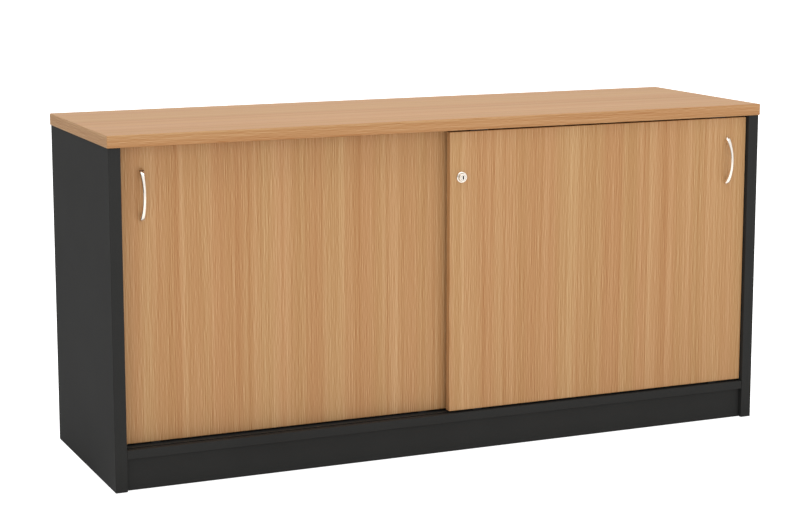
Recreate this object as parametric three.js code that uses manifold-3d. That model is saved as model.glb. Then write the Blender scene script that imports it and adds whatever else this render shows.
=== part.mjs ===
// Office credenza with two sliding doors, in millimetres.
// +X runs to the right, -Y is the front and +Z is up.
// The origin is on the floor, under the middle of the outline.
import * as THREE from 'three';
import { mergeVertices } from 'three/addons/utils/BufferGeometryUtils.js';
import Module from 'manifold-3d';

const wasm = await Module();
wasm.setup();

// Carcass boards
const WIDTH = 1500; // worktop, left to right
const DEPTH = 450; // worktop, front to back
const HEIGHT = 720; // floor to worktop
const TOP_THICKNESS = 25;
const TOP_OVERHANG = 2.5; // worktop past the outer faces and the front edges of the sides
const SIDE_THICKNESS = 25;
const BASE_THICKNESS = 18;
const BASE_RECESS = 1; // base panel behind the front edges of the sides
const KICK_HEIGHT = 67;
const KICK_THICKNESS = 16;
const KICK_RECESS = 10; // front kick board behind the front edges of the sides
const BACK_THICKNESS = 16;
const DIVIDER_THICKNESS = 18;
const DIVIDER_CLEARANCE = 6.5; // front edge of the divider behind the rear door

// Sliding doors
const DOOR_THICKNESS = 16;
const DOOR_RECESS = 9; // front door behind the front edges of the sides
const DOOR_SPACING = 10; // air between the front door and the rear door
const DOOR_OVERLAP = 21; // one door behind the other when both are closed
const DOOR_END_GAP = 1.5; // closed door to the side panel
const DOOR_TOP_GAP = 4;
const DOOR_BOTTOM_GAP = 4;

// Tracks, rollers and guides
const TRACK_WIDTH = 10;
const TRACK_WALL = 1.2;
const TRACK_END_GAP = 1;
const TOP_TRACK_DEPTH = 12;
const BOTTOM_TRACK_DEPTH = 5;
const TRACK_PLAY = 0.8; // roller or guide to each wall of its track
const ROLLER_DIAMETER = 26;
const ROLLER_INSET = 70; // roller axis from the door's end
const ROLLER_PLAY = 1; // roller rim to its housing
const AXLE_DIAMETER = 4;
const HOUSING_WALL = 2.2; // housing cheeks beside the roller
const HOUSING_END = 7; // housing length beyond the roller slot, at each end
const HOUSING_ROOF = 3; // housing above the roller slot
const GUIDE_INSET = 70; // guide's middle from the door's end
const GUIDE_LENGTH = 40;
const GUIDE_ROOT_WIDTH = 10;
const GUIDE_ROOT_DEPTH = 14; // sunk in the door's upper edge
const GUIDE_REACH = 6; // guide fin inside the top track

// Bow handles
const HANDLE_SPACING = 96; // screw to screw
const HANDLE_PROJECTION = 25.5; // door face to the outside of the bow
const HANDLE_INSET = 49; // handle from the door's closing end
const HANDLE_DROP = 96; // handle's middle below the door's upper edge
const BAR_WIDTH = 8;
const BAR_THICKNESS = 6.5;
const FOOT_DIAMETER = 11;
const FOOT_RISE = 4.25; // door face to the bar's centre line at each foot
const FOOT_TIP_DIAMETER = 7; // crown of each foot, over the bar's end
const SCREW_DIAMETER = 4;
const SCREW_HEAD_DIAMETER = 8;
const SCREW_HEAD_HEIGHT = 2.4;
const SCREW_BITE = 4.5; // screw inside the handle's foot

// Push lock on the front door
const LOCK_INSET = 27.5; // lock axis from the front door's meeting end
const LOCK_DROP = 96.5; // lock axis below the door's upper edge
const LOCK_FLANGE_DIAMETER = 24;
const LOCK_FLANGE_THICKNESS = 2.5;
const LOCK_WALL = 1.4; // housing tube around the barrel
const LOCK_END_WALL = 2; // housing wall that the spring leans on
const BARREL_DIAMETER = 17;
const BARREL_PROUD = 5.5; // barrel in front of the flange when unlocked
const LOCK_THROW = 5.5;
const BOLT_DIAMETER = 6;
const BOLT_CLEARANCE = 1.5; // pushed bolt to the rear door's face
const PLUG_DIAMETER = 11;
const PLUG_WEB = 2; // barrel behind the key plug
const KEYWAY_WIDTH = 3;
const KEYWAY_HEIGHT = 7.5;
const KEYWAY_DEPTH = 6;
const NUT_THICKNESS = 3;
const NUT_RIM = 3.6; // nut's flats outside the housing tube
const SPRING_WIRE = 1;
const SPRING_TURNS = 4;
const SPRING_CLOSED = 4.6; // spring length left when the barrel is pushed in

// Shelves and their pins
const SHELF_THICKNESS = 18;
const SHELF_END_GAP = 1.5;
const SHELF_BACK_GAP = 1.5;
const SHELF_SETBACK = 12; // shelf front behind the divider's front
const PIN_HEIGHT = 322; // pins in use above the base panel
const PIN_PITCH = 32;
const PIN_SPARES = 2; // spare holes above and below the pins in use
const PIN_INSET = 50; // pin rows from the divider's front and from the back panel
const PIN_DIAMETER = 5;
const PIN_SINK = 7;
const PIN_REACH = 9;
const PIN_COLLAR_DIAMETER = 7;
const PIN_COLLAR_THICKNESS = 1;

// Cam fittings that pull the worktop down on the sides
const CAM_DIAMETER = 15;
const CAM_DEPTH = 12.5;
const CAM_DROP = 34; // cam axis below the worktop
const CAM_FRONT_INSET = 110; // cam axes from the front and back edges of the sides
const CAM_BACK_INSET = 60;
const CAM_SLOT = 8; // opening for the bolt's head
const CAM_BOLT_OFFSET = 8; // bolt axis from the side's inner face
const CAM_BOLT_DIAMETER = 4;
const CAM_HEAD_DIAMETER = 6.8;
const CAM_HEAD_LENGTH = 3;
const CAM_THREAD_DIAMETER = 5.8;
const CAM_THREAD_LENGTH = 11;

// Nail-on glides under the sides
const GLIDE_HEIGHT = 2;
const GLIDE_DIAMETER = 18;
const GLIDE_INSET = 40; // glide axes from the front and back edges of the sides
const NAIL_DIAMETER = 2.5;
const NAIL_LENGTH = 15;

// Fits and facets
const SEAM = 0.25; // between pieces that touch
const FIT = 0.3; // around shanks, tubes and turning pieces
const CUT_PAST = 1; // cutters past the face they open
const FINE_SIDES = 24;
const COARSE_SIDES = 12;
const PIN_HOLE_SIDES = 8;
const NUT_SIDES = 6;
const SPRING_SIDES = 6;
const HANDLE_STEPS = 20;
const SPRING_STEPS_PER_TURN = 10;

// Planes worked out from the sizes above
const handleReach = HANDLE_PROJECTION - DOOR_RECESS - TOP_OVERHANG;
const backY = (DEPTH + Math.max(handleReach, 0)) / 2;
const sideFrontY = backY - DEPTH + TOP_OVERHANG;
const backFaceY = backY - BACK_THICKNESS;
const topUnderZ = HEIGHT - TOP_THICKNESS;
const baseUnderZ = GLIDE_HEIGHT + KICK_HEIGHT;
const baseTopZ = baseUnderZ + BASE_THICKNESS;
const sideX = WIDTH / 2 - TOP_OVERHANG;
const innerX = sideX - SIDE_THICKNESS;
const dividerX = DIVIDER_THICKNESS / 2;
const doorWidth = innerX - DOOR_END_GAP + DOOR_OVERLAP / 2;
const doorBottomZ = baseTopZ + DOOR_BOTTOM_GAP;
const doorHeight = topUnderZ - DOOR_TOP_GAP - doorBottomZ;
const frontLaneY = sideFrontY + DOOR_RECESS;
const rearLaneY = frontLaneY + DOOR_THICKNESS + DOOR_SPACING;
const dividerFrontY = rearLaneY + DOOR_THICKNESS + DIVIDER_CLEARANCE;
const pinZ = baseTopZ + PIN_HEIGHT;
const pinRowsY = [dividerFrontY + PIN_INSET, backFaceY - PIN_INSET];
const camRowsY = [sideFrontY + CAM_FRONT_INSET, backY - CAM_BACK_INSET];
const glideRowsY = [sideFrontY + GLIDE_INSET, backY - GLIDE_INSET];

const beech = new THREE.MeshStandardMaterial({ color: 0xc8a57a, roughness: 0.5, metalness: 0 });
const charcoal = new THREE.MeshStandardMaterial({ color: 0x3a3a3a, roughness: 0.65, metalness: 0 });
const blackPlastic = new THREE.MeshStandardMaterial({ color: 0x1c1c1c, roughness: 0.5, metalness: 0 });
const greyNylon = new THREE.MeshStandardMaterial({ color: 0x343434, roughness: 0.4, metalness: 0 });
const satinChrome = new THREE.MeshStandardMaterial({ color: 0xd8d8d6, roughness: 0.25, metalness: 1 });
const zincSteel = new THREE.MeshStandardMaterial({ color: 0xb4b6b8, roughness: 0.35, metalness: 1 });

// A named mesh at a place.
function piece(name, geometry, material, position = [0, 0, 0]) {
  const mesh = new THREE.Mesh(geometry, material);
  mesh.name = name;
  mesh.position.set(...position);
  return mesh;
}

// A box between its lowest and highest corners.
function block([x0, y0, z0], [x1, y1, z1]) {
  const box = new THREE.BoxGeometry(x1 - x0, y1 - y0, z1 - z0);
  return box.translate((x0 + x1) / 2, (y0 + y1) / 2, (z0 + z1) / 2);
}

// A round hole's cutter between two points, with its flats clear of the stated diameter by FIT.
function drill(diameter, from, to, sides = COARSE_SIDES) {
  const start = new THREE.Vector3(...from);
  const run = new THREE.Vector3(...to).sub(start);
  const radius = (diameter / 2 + FIT) / Math.cos(Math.PI / sides);
  const cutter = new THREE.CylinderGeometry(radius, radius, run.length(), sides);
  const along = run.clone().normalize();
  cutter.applyQuaternion(new THREE.Quaternion().setFromUnitVectors(new THREE.Vector3(0, 1, 0), along));
  return cutter.translate(...start.addScaledVector(run, 0.5));
}

// A turned piece from [radius, height] points, with its axis along +Y.
function turned(profile, sides = COARSE_SIDES) {
  return new THREE.LatheGeometry(profile.map((point) => new THREE.Vector2(...point)), sides);
}

// The closed solid of a geometry, with shared vertices merged and collapsed triangles dropped.
function solidOf(geometry) {
  const bare = geometry.clone();
  bare.deleteAttribute('normal');
  bare.deleteAttribute('uv');
  const merged = mergeVertices(bare, 1e-4);
  const index = merged.index.array;
  const triVerts = [];
  for (let i = 0; i < index.length; i += 3) {
    const [a, b, c] = index.slice(i, i + 3);
    if (a !== b && b !== c && c !== a) triVerts.push(a, b, c);
  }
  const vertProperties = new Float32Array(merged.attributes.position.array);
  const mesh = new wasm.Mesh({ numProp: 3, vertProperties, triVerts: new Uint32Array(triVerts) });
  return new wasm.Manifold(mesh);
}

// The geometry of a closed solid.
function geometryOf(solid) {
  const mesh = solid.getMesh();
  const geometry = new THREE.BufferGeometry();
  geometry.setAttribute('position', new THREE.BufferAttribute(new Float32Array(mesh.vertProperties), 3));
  geometry.setIndex(new THREE.BufferAttribute(new Uint32Array(mesh.triVerts), 1));
  geometry.computeVertexNormals();
  return geometry;
}

function cut(geometry, cutters) {
  return geometryOf(cutters.reduce((solid, cutter) => solid.subtract(solidOf(cutter)), solidOf(geometry)));
}

function join(geometries) {
  return geometryOf(geometries.map(solidOf).reduce((solid, other) => solid.add(other)));
}

// Track grooves in the worktop and the base panel, and the tracks that fill them.
// A track is a channel that opens towards the doors: `mouthZ` is its mouth and `floorZ` its far side.
function trackSpan(laneY, clearance) {
  const middle = laneY + DOOR_THICKNESS / 2;
  return [middle - TRACK_WIDTH / 2 - clearance, middle + TRACK_WIDTH / 2 + clearance];
}

function grooveCutter(laneY, mouthZ, floorZ) {
  const [y0, y1] = trackSpan(laneY, SEAM);
  const upward = Math.sign(floorZ - mouthZ);
  const zs = [mouthZ - upward * CUT_PAST, floorZ + upward * SEAM].sort((a, b) => a - b);
  return block([-innerX, y0, zs[0]], [innerX, y1, zs[1]]);
}

function track(name, laneY, mouthZ, floorZ) {
  const [y0, y1] = trackSpan(laneY, 0);
  const end = innerX - TRACK_END_GAP;
  const upward = Math.sign(floorZ - mouthZ);
  const outer = [mouthZ, floorZ].sort((a, b) => a - b);
  const channel = [mouthZ - upward * CUT_PAST, floorZ - upward * TRACK_WALL].sort((a, b) => a - b);
  const body = block([-end, y0, outer[0]], [end, y1, outer[1]]);
  const hollow = block(
    [-end - TRACK_END_GAP, y0 + TRACK_WALL, channel[0]],
    [end + TRACK_END_GAP, y1 - TRACK_WALL, channel[1]],
  );
  return piece(name, cut(body, [hollow]), blackPlastic);
}

function tracks() {
  const group = new THREE.Group();
  for (const [lane, laneY] of [['front', frontLaneY], ['rear', rearLaneY]]) {
    group.add(track(`top_track_${lane}`, laneY, topUnderZ, topUnderZ + TOP_TRACK_DEPTH));
    group.add(track(`bottom_track_${lane}`, laneY, baseTopZ, baseTopZ - BOTTOM_TRACK_DEPTH));
  }
  return group;
}

// Holes for shelf pins in a board face at x = faceX, drilled the way `inward` points.
function pinHoles(faceX, inward) {
  const holes = [];
  for (const y of pinRowsY) {
    for (let step = -PIN_SPARES; step <= PIN_SPARES; step += 1) {
      const z = pinZ + step * PIN_PITCH;
      const mouth = [faceX - inward * CUT_PAST, y, z];
      const bottom = [faceX + inward * (PIN_SINK + FIT), y, z];
      holes.push(drill(PIN_DIAMETER, mouth, bottom, PIN_HOLE_SIDES));
    }
  }
  return holes;
}

function topPanel() {
  const board = block([-WIDTH / 2, backY - DEPTH, topUnderZ], [WIDTH / 2, backY, HEIGHT]);
  const grooves = [frontLaneY, rearLaneY].map((laneY) =>
    grooveCutter(laneY, topUnderZ, topUnderZ + TOP_TRACK_DEPTH));
  const boltHoles = [-1, 1].flatMap((hand) => camRowsY.map((y) => {
    const x = hand * (innerX + CAM_BOLT_OFFSET);
    const holeTop = topUnderZ + CAM_THREAD_LENGTH + FIT;
    return drill(CAM_THREAD_DIAMETER, [x, y, topUnderZ - CUT_PAST], [x, y, holeTop]);
  }));
  return piece('top_panel', cut(board, [...grooves, ...boltHoles]), beech);
}

// A side panel, with hand -1 on the left and 1 on the right.
function sidePanel(name, hand) {
  const xs = [hand * innerX, hand * sideX].sort((a, b) => a - b);
  const board = block([xs[0], sideFrontY, GLIDE_HEIGHT + SEAM], [xs[1], backY, topUnderZ - SEAM]);
  const camZ = topUnderZ - CAM_DROP;
  const boltX = hand * (innerX + CAM_BOLT_OFFSET);
  const glideX = hand * (sideX - SIDE_THICKNESS / 2);
  const camMouthX = hand * (innerX - CUT_PAST);
  const camFloorX = hand * (innerX + CAM_DEPTH + FIT);
  const camHoles = camRowsY.flatMap((y) => [
    drill(CAM_DIAMETER, [camMouthX, y, camZ], [camFloorX, y, camZ], FINE_SIDES),
    drill(CAM_HEAD_DIAMETER, [boltX, y, camZ], [boltX, y, topUnderZ]),
  ]);
  const nailHoles = glideRowsY.map((y) =>
    drill(NAIL_DIAMETER, [glideX, y, GLIDE_HEIGHT], [glideX, y, GLIDE_HEIGHT + NAIL_LENGTH + FIT]));
  return piece(name, cut(board, [...pinHoles(hand * innerX, hand), ...camHoles, ...nailHoles]), charcoal);
}

function basePanel() {
  const x = innerX - SEAM;
  const board = block([-x, sideFrontY + BASE_RECESS, baseUnderZ], [x, backFaceY - SEAM, baseTopZ]);
  const grooves = [frontLaneY, rearLaneY].map((laneY) =>
    grooveCutter(laneY, baseTopZ, baseTopZ - BOTTOM_TRACK_DEPTH));
  return piece('base_panel', cut(board, grooves), charcoal);
}

function centreDivider() {
  const board = block(
    [-dividerX, dividerFrontY, baseTopZ + SEAM],
    [dividerX, backFaceY - SEAM, topUnderZ - SEAM],
  );
  const holes = [...pinHoles(-dividerX, 1), ...pinHoles(dividerX, -1)];
  return piece('centre_divider', cut(board, holes), charcoal);
}

function plainBoards() {
  const x = innerX - SEAM;
  const kickFrontY = sideFrontY + KICK_RECESS;
  const kickZ = [GLIDE_HEIGHT + SEAM, baseUnderZ - SEAM];
  const back = block([-x, backFaceY, baseUnderZ], [x, backY, topUnderZ - SEAM]);
  const frontKick = block([-x, kickFrontY, kickZ[0]], [x, kickFrontY + KICK_THICKNESS, kickZ[1]]);
  const rearKick = block([-x, backY - KICK_THICKNESS, kickZ[0]], [x, backY, kickZ[1]]);
  const group = new THREE.Group();
  group.add(piece('back_panel', back, charcoal));
  group.add(piece('front_kick', frontKick, charcoal));
  group.add(piece('rear_kick', rearKick, charcoal));
  return group;
}

// A loose shelf and its four pins, with hand -1 in the left bay and 1 in the right bay.
function shelfBay(side, hand) {
  const group = new THREE.Group();
  const xs = [hand * (dividerX + SHELF_END_GAP), hand * (innerX - SHELF_END_GAP)].sort((a, b) => a - b);
  const shelfZ = pinZ + PIN_DIAMETER / 2 + SEAM;
  const board = block(
    [xs[0], dividerFrontY + SHELF_SETBACK, shelfZ],
    [xs[1], backFaceY - SHELF_BACK_GAP, shelfZ + SHELF_THICKNESS],
  );
  group.add(piece(`${side}_shelf`, board, charcoal));

  const pinProfile = turned([
    [0, -PIN_SINK],
    [PIN_DIAMETER / 2, -PIN_SINK],
    [PIN_DIAMETER / 2, SEAM],
    [PIN_COLLAR_DIAMETER / 2, SEAM],
    [PIN_COLLAR_DIAMETER / 2, PIN_COLLAR_THICKNESS],
    [PIN_DIAMETER / 2, PIN_COLLAR_THICKNESS],
    [PIN_DIAMETER / 2, PIN_REACH],
    [0, PIN_REACH],
  ]);
  const faces = [['outer', hand * innerX, -hand], ['inner', hand * dividerX, hand]];
  for (const [end, faceX, outward] of faces) {
    pinRowsY.forEach((y, row) => {
      const pinName = `${side}_shelf_pin_${end}_${['front', 'back'][row]}`;
      const pin = piece(pinName, pinProfile, zincSteel, [faceX, y, pinZ]);
      pin.rotation.z = -outward * Math.PI / 2;
      group.add(pin);
    });
  }
  return group;
}

// Cam and bolt at each end of the joint between a side panel and the worktop.
function camFittings(side, hand) {
  const group = new THREE.Group();
  const camZ = topUnderZ - CAM_DROP;
  const boltX = CAM_BOLT_OFFSET;
  const camRadius = CAM_DIAMETER / 2;
  const disc = turned([[0, 0], [camRadius, 0], [camRadius, CAM_DEPTH], [0, CAM_DEPTH]], FINE_SIDES);
  disc.rotateZ(-Math.PI / 2);
  const slot = block(
    [boltX - CAM_SLOT / 2, -CAM_SLOT / 2, -CAM_SLOT / 2],
    [boltX + CAM_SLOT / 2, CAM_SLOT / 2, CAM_DIAMETER],
  );
  const camBody = cut(disc, [slot]);
  const headZ = -CAM_HEAD_LENGTH;
  const bolt = turned([
    [0, headZ],
    [CAM_HEAD_DIAMETER / 2, headZ],
    [CAM_HEAD_DIAMETER / 2, 0],
    [CAM_BOLT_DIAMETER / 2, 0],
    [CAM_BOLT_DIAMETER / 2, CAM_DROP],
    [CAM_THREAD_DIAMETER / 2, CAM_DROP + SEAM],
    [CAM_THREAD_DIAMETER / 2, CAM_DROP + CAM_THREAD_LENGTH],
    [0, CAM_DROP + CAM_THREAD_LENGTH],
  ]);
  camRowsY.forEach((y, row) => {
    const place = ['front', 'back'][row];
    const cam = piece(`${side}_cam_${place}`, camBody, zincSteel, [hand * innerX, y, camZ]);
    cam.rotation.z = hand < 0 ? Math.PI : 0;
    const shank = piece(`${side}_cam_bolt_${place}`, bolt, zincSteel, [hand * (innerX + boltX), y, camZ]);
    shank.rotation.x = Math.PI / 2;
    group.add(cam, shank);
  });
  return group;
}

// Two nail-on glides under a side panel.
function glides(side, hand) {
  const group = new THREE.Group();
  const profile = turned([
    [0, 0],
    [GLIDE_DIAMETER / 2, 0],
    [GLIDE_DIAMETER / 2, GLIDE_HEIGHT],
    [NAIL_DIAMETER / 2, GLIDE_HEIGHT],
    [NAIL_DIAMETER / 2, GLIDE_HEIGHT + NAIL_LENGTH],
    [0, GLIDE_HEIGHT + NAIL_LENGTH],
  ]);
  glideRowsY.forEach((y, row) => {
    const x = hand * (sideX - SIDE_THICKNESS / 2);
    const glide = piece(`${side}_glide_${['front', 'back'][row]}`, profile, blackPlastic, [x, y, 0]);
    glide.rotation.x = Math.PI / 2;
    group.add(glide);
  });
  return group;
}

// Roller and housing sizes. The roller runs on the bottom track's floor.
const rollerRadius = ROLLER_DIAMETER / 2;
const rollerWidth = TRACK_WIDTH - 2 * TRACK_WALL - 2 * TRACK_PLAY;
const trackFloorZ = TRACK_WALL - BOTTOM_TRACK_DEPTH - DOOR_BOTTOM_GAP; // from the door's lower edge
const axleZ = trackFloorZ + FIT + rollerRadius;
const slotWidth = rollerWidth + 2 * FIT;
const slotLength = ROLLER_DIAMETER + 2 * ROLLER_PLAY;
const slotTop = axleZ + rollerRadius + ROLLER_PLAY;
const housingWidth = slotWidth + 2 * HOUSING_WALL;
const housingLength = slotLength + 2 * HOUSING_END;
const housingTop = slotTop + HOUSING_ROOF;

function rollerGeometry() {
  const w = rollerWidth / 2;
  const a = housingWidth / 2 - FIT;
  return turned([
    [0, -a],
    [AXLE_DIAMETER / 2, -a],
    [AXLE_DIAMETER / 2, -w],
    [rollerRadius, -w],
    [rollerRadius, w],
    [AXLE_DIAMETER / 2, w],
    [AXLE_DIAMETER / 2, a],
    [0, a],
  ], FINE_SIDES);
}

function housingGeometry() {
  const body = block(
    [-housingLength / 2, -housingWidth / 2, 0],
    [housingLength / 2, housingWidth / 2, housingTop],
  );
  const slot = block(
    [-slotLength / 2, -slotWidth / 2, -CUT_PAST],
    [slotLength / 2, slotWidth / 2, slotTop],
  );
  const axleHole = drill(AXLE_DIAMETER, [0, -housingWidth, axleZ], [0, housingWidth, axleZ]);
  return cut(body, [slot, axleHole]);
}

// A guide: a root sunk in the door's upper edge and a fin that runs in the top track.
function guideGeometry() {
  const finWidth = TRACK_WIDTH - 2 * TRACK_WALL - 2 * TRACK_PLAY;
  const root = block(
    [-GUIDE_LENGTH / 2, -GUIDE_ROOT_WIDTH / 2, -GUIDE_ROOT_DEPTH],
    [GUIDE_LENGTH / 2, GUIDE_ROOT_WIDTH / 2, 0],
  );
  const fin = block(
    [-GUIDE_LENGTH / 2, -finWidth / 2, -GUIDE_ROOT_DEPTH / 2],
    [GUIDE_LENGTH / 2, finWidth / 2, DOOR_TOP_GAP + GUIDE_REACH],
  );
  return join([root, fin]);
}

// The bow's centre line: an arc from foot to foot in the YZ plane, standing out to -Y.
class BowCurve extends THREE.Curve {
  constructor(halfSpan, rise, sagitta) {
    super();
    this.radius = (halfSpan ** 2 + sagitta ** 2) / (2 * sagitta);
    this.halfAngle = Math.asin(halfSpan / this.radius);
    this.centreY = this.radius - rise - sagitta;
  }

  getPoint(t, target = new THREE.Vector3()) {
    const angle = (2 * t - 1) * this.halfAngle;
    return target.set(0, this.centreY - this.radius * Math.cos(angle), this.radius * Math.sin(angle));
  }
}

// A bow handle about its middle on the door's face: the bar, two turned feet and a screw hole in each foot.
function handleGeometry() {
  const sagitta = HANDLE_PROJECTION - BAR_THICKNESS / 2 - FOOT_RISE;
  const section = new THREE.Shape().absellipse(0, 0, BAR_WIDTH / 2, BAR_THICKNESS / 2, 0, 2 * Math.PI);
  const bar = new THREE.ExtrudeGeometry(section, {
    steps: HANDLE_STEPS,
    curveSegments: COARSE_SIDES / 2,
    extrudePath: new BowCurve(HANDLE_SPACING / 2, FOOT_RISE, sagitta),
  });
  const footRadius = FOOT_DIAMETER / 2;
  const footTop = FOOT_RISE + BAR_THICKNESS / 2;
  const feet = [-1, 1].map((end) => turned([
    [0, -footTop],
    [FOOT_TIP_DIAMETER / 2, -footTop],
    [footRadius, -FOOT_RISE],
    [footRadius, -SEAM],
    [0, -SEAM],
  ]).translate(0, 0, end * HANDLE_SPACING / 2));
  const screwHoles = [-1, 1].map((end) => {
    const z = end * HANDLE_SPACING / 2;
    return drill(SCREW_DIAMETER, [0, CUT_PAST, z], [0, -SCREW_BITE - FIT, z]);
  });
  return cut(join([bar, ...feet]), screwHoles);
}

function handleScrewGeometry() {
  const head = DOOR_THICKNESS + SEAM;
  return turned([
    [0, -SCREW_BITE],
    [SCREW_DIAMETER / 2, -SCREW_BITE],
    [SCREW_DIAMETER / 2, head],
    [SCREW_HEAD_DIAMETER / 2, head],
    [SCREW_HEAD_DIAMETER / 2, head + SCREW_HEAD_HEIGHT],
    [0, head + SCREW_HEAD_HEIGHT],
  ]);
}

// Lock sizes along its axis, from the door's face backwards.
const barrelRadius = BARREL_DIAMETER / 2;
const lockBore = barrelRadius + FIT;
const lockTubeDiameter = 2 * (lockBore + LOCK_WALL);
const lockEnd = DOOR_THICKNESS + SEAM + NUT_THICKNESS;
const springSeat = lockEnd - LOCK_END_WALL;
const barrelFront = -LOCK_FLANGE_THICKNESS - BARREL_PROUD;
const barrelBack = springSeat - SPRING_CLOSED - LOCK_THROW;
const boltTip = DOOR_THICKNESS + DOOR_SPACING - BOLT_CLEARANCE - LOCK_THROW;
const plugBack = barrelBack - PLUG_WEB;

// The barrel's return spring: a helix around the bolt, between the barrel and the housing's end wall.
class SpringCurve extends THREE.Curve {
  getPoint(t, target = new THREE.Vector3()) {
    const radius = (BOLT_DIAMETER / 2 + lockBore) / 2;
    const angle = 2 * Math.PI * SPRING_TURNS * t;
    const start = barrelBack + SEAM + SPRING_WIRE / 2;
    const end = springSeat - SEAM - SPRING_WIRE / 2;
    return target.set(radius * Math.cos(angle), start + (end - start) * t, radius * Math.sin(angle));
  }
}

// The push lock about its axis, at the door's face.
function pushLock() {
  const group = new THREE.Group();
  const flangeRadius = LOCK_FLANGE_DIAMETER / 2;
  const tube = lockTubeDiameter / 2;
  const boltHole = BOLT_DIAMETER / 2 + FIT;
  const housing = turned([
    [lockBore, -LOCK_FLANGE_THICKNESS],
    [flangeRadius - LOCK_FLANGE_THICKNESS / 2, -LOCK_FLANGE_THICKNESS],
    [flangeRadius, -LOCK_FLANGE_THICKNESS / 2],
    [flangeRadius, -SEAM],
    [tube, -SEAM],
    [tube, lockEnd],
    [boltHole, lockEnd],
    [boltHole, springSeat],
    [lockBore, springSeat],
    [lockBore, -LOCK_FLANGE_THICKNESS],
  ], FINE_SIDES);
  group.add(piece('lock_housing', housing, satinChrome));

  const plugBore = PLUG_DIAMETER / 2 + FIT;
  const barrel = turned([
    [0, plugBack + SEAM],
    [plugBore, plugBack + SEAM],
    [plugBore, barrelFront],
    [barrelRadius, barrelFront],
    [barrelRadius, barrelBack],
    [BOLT_DIAMETER / 2, barrelBack],
    [BOLT_DIAMETER / 2, boltTip],
    [0, boltTip],
  ], FINE_SIDES);
  group.add(piece('lock_barrel', barrel, satinChrome));

  const plug = turned([
    [0, barrelFront],
    [PLUG_DIAMETER / 2, barrelFront],
    [PLUG_DIAMETER / 2, plugBack],
    [0, plugBack],
  ], FINE_SIDES);
  const keyway = block(
    [-KEYWAY_WIDTH / 2, barrelFront - CUT_PAST, -KEYWAY_HEIGHT / 2],
    [KEYWAY_WIDTH / 2, barrelFront + KEYWAY_DEPTH, KEYWAY_HEIGHT / 2],
  );
  group.add(piece('lock_plug', cut(plug, [keyway]), satinChrome));

  const nutRadius = (tube + NUT_RIM) / Math.cos(Math.PI / NUT_SIDES);
  const nutBody = new THREE.CylinderGeometry(nutRadius, nutRadius, NUT_THICKNESS, NUT_SIDES);
  nutBody.translate(0, lockEnd - NUT_THICKNESS / 2, 0);
  const nut = cut(nutBody, [drill(lockTubeDiameter, [0, 0, 0], [0, lockEnd + CUT_PAST, 0], FINE_SIDES)]);
  group.add(piece('lock_nut', nut, zincSteel));

  const wire = new THREE.Shape().absarc(0, 0, SPRING_WIRE / 2, 0, 2 * Math.PI);
  const spring = new THREE.ExtrudeGeometry(wire, {
    steps: SPRING_TURNS * SPRING_STEPS_PER_TURN,
    curveSegments: SPRING_SIDES / 2,
    extrudePath: new SpringCurve(),
  });
  group.add(piece('lock_spring', spring, zincSteel));
  return group;
}

// A sliding door about the middle of its lower edge, at its front face.
// `hand` is the end with the handle, which closes on the side panel: -1 on the left and 1 on the right.
function slidingDoor(side, hand, laneY, hasLock) {
  const name = `${side}_door`;
  const group = new THREE.Group();
  group.position.set(hand * (innerX - DOOR_END_GAP - doorWidth / 2), laneY, doorBottomZ);
  const middleY = DOOR_THICKNESS / 2;
  const handleX = hand * (doorWidth / 2 - HANDLE_INSET);
  const handleZ = doorHeight - HANDLE_DROP;
  const screwsZ = [handleZ - HANDLE_SPACING / 2, handleZ + HANDLE_SPACING / 2];
  const lockX = -hand * (doorWidth / 2 - LOCK_INSET);
  const lockZ = doorHeight - LOCK_DROP;

  const cutters = screwsZ.map((z) => drill(
    SCREW_DIAMETER,
    [handleX, -CUT_PAST, z],
    [handleX, DOOR_THICKNESS + CUT_PAST, z],
  ));
  const housing = housingGeometry();
  const roller = rollerGeometry();
  const guide = guideGeometry();
  for (const [place, end] of [['left', -1], ['right', 1]]) {
    const rollerX = end * (doorWidth / 2 - ROLLER_INSET);
    const guideX = end * (doorWidth / 2 - GUIDE_INSET);
    group.add(piece(`${name}_roller_housing_${place}`, housing, blackPlastic, [rollerX, middleY, 0]));
    group.add(piece(`${name}_roller_${place}`, roller, greyNylon, [rollerX, middleY, axleZ]));
    group.add(piece(`${name}_guide_${place}`, guide, blackPlastic, [guideX, middleY, doorHeight]));
    const housingHalf = housingLength / 2 + SEAM;
    const mortiseHalf = housingWidth / 2 + SEAM;
    cutters.push(block(
      [rollerX - housingHalf, middleY - mortiseHalf, -CUT_PAST],
      [rollerX + housingHalf, middleY + mortiseHalf, housingTop + SEAM],
    ));
    const guideHalf = GUIDE_LENGTH / 2 + SEAM;
    const rootHalf = GUIDE_ROOT_WIDTH / 2 + SEAM;
    cutters.push(block(
      [guideX - guideHalf, middleY - rootHalf, doorHeight - GUIDE_ROOT_DEPTH - SEAM],
      [guideX + guideHalf, middleY + rootHalf, doorHeight + CUT_PAST],
    ));
  }

  group.add(piece(`${name}_handle`, handleGeometry(), satinChrome, [handleX, 0, handleZ]));
  screwsZ.forEach((z, row) => {
    const screwName = `${name}_handle_screw_${['lower', 'upper'][row]}`;
    group.add(piece(screwName, handleScrewGeometry(), zincSteel, [handleX, 0, z]));
  });

  if (hasLock) {
    const lock = pushLock();
    lock.position.set(lockX, 0, lockZ);
    group.add(lock);
    const lockHole = [[lockX, -CUT_PAST, lockZ], [lockX, DOOR_THICKNESS + CUT_PAST, lockZ]];
    cutters.push(drill(lockTubeDiameter, ...lockHole, FINE_SIDES));
  }

  const panel = block([-doorWidth / 2, 0, 0], [doorWidth / 2, DOOR_THICKNESS, doorHeight]);
  group.add(piece(name, cut(panel, cutters), beech));
  return group;
}

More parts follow.
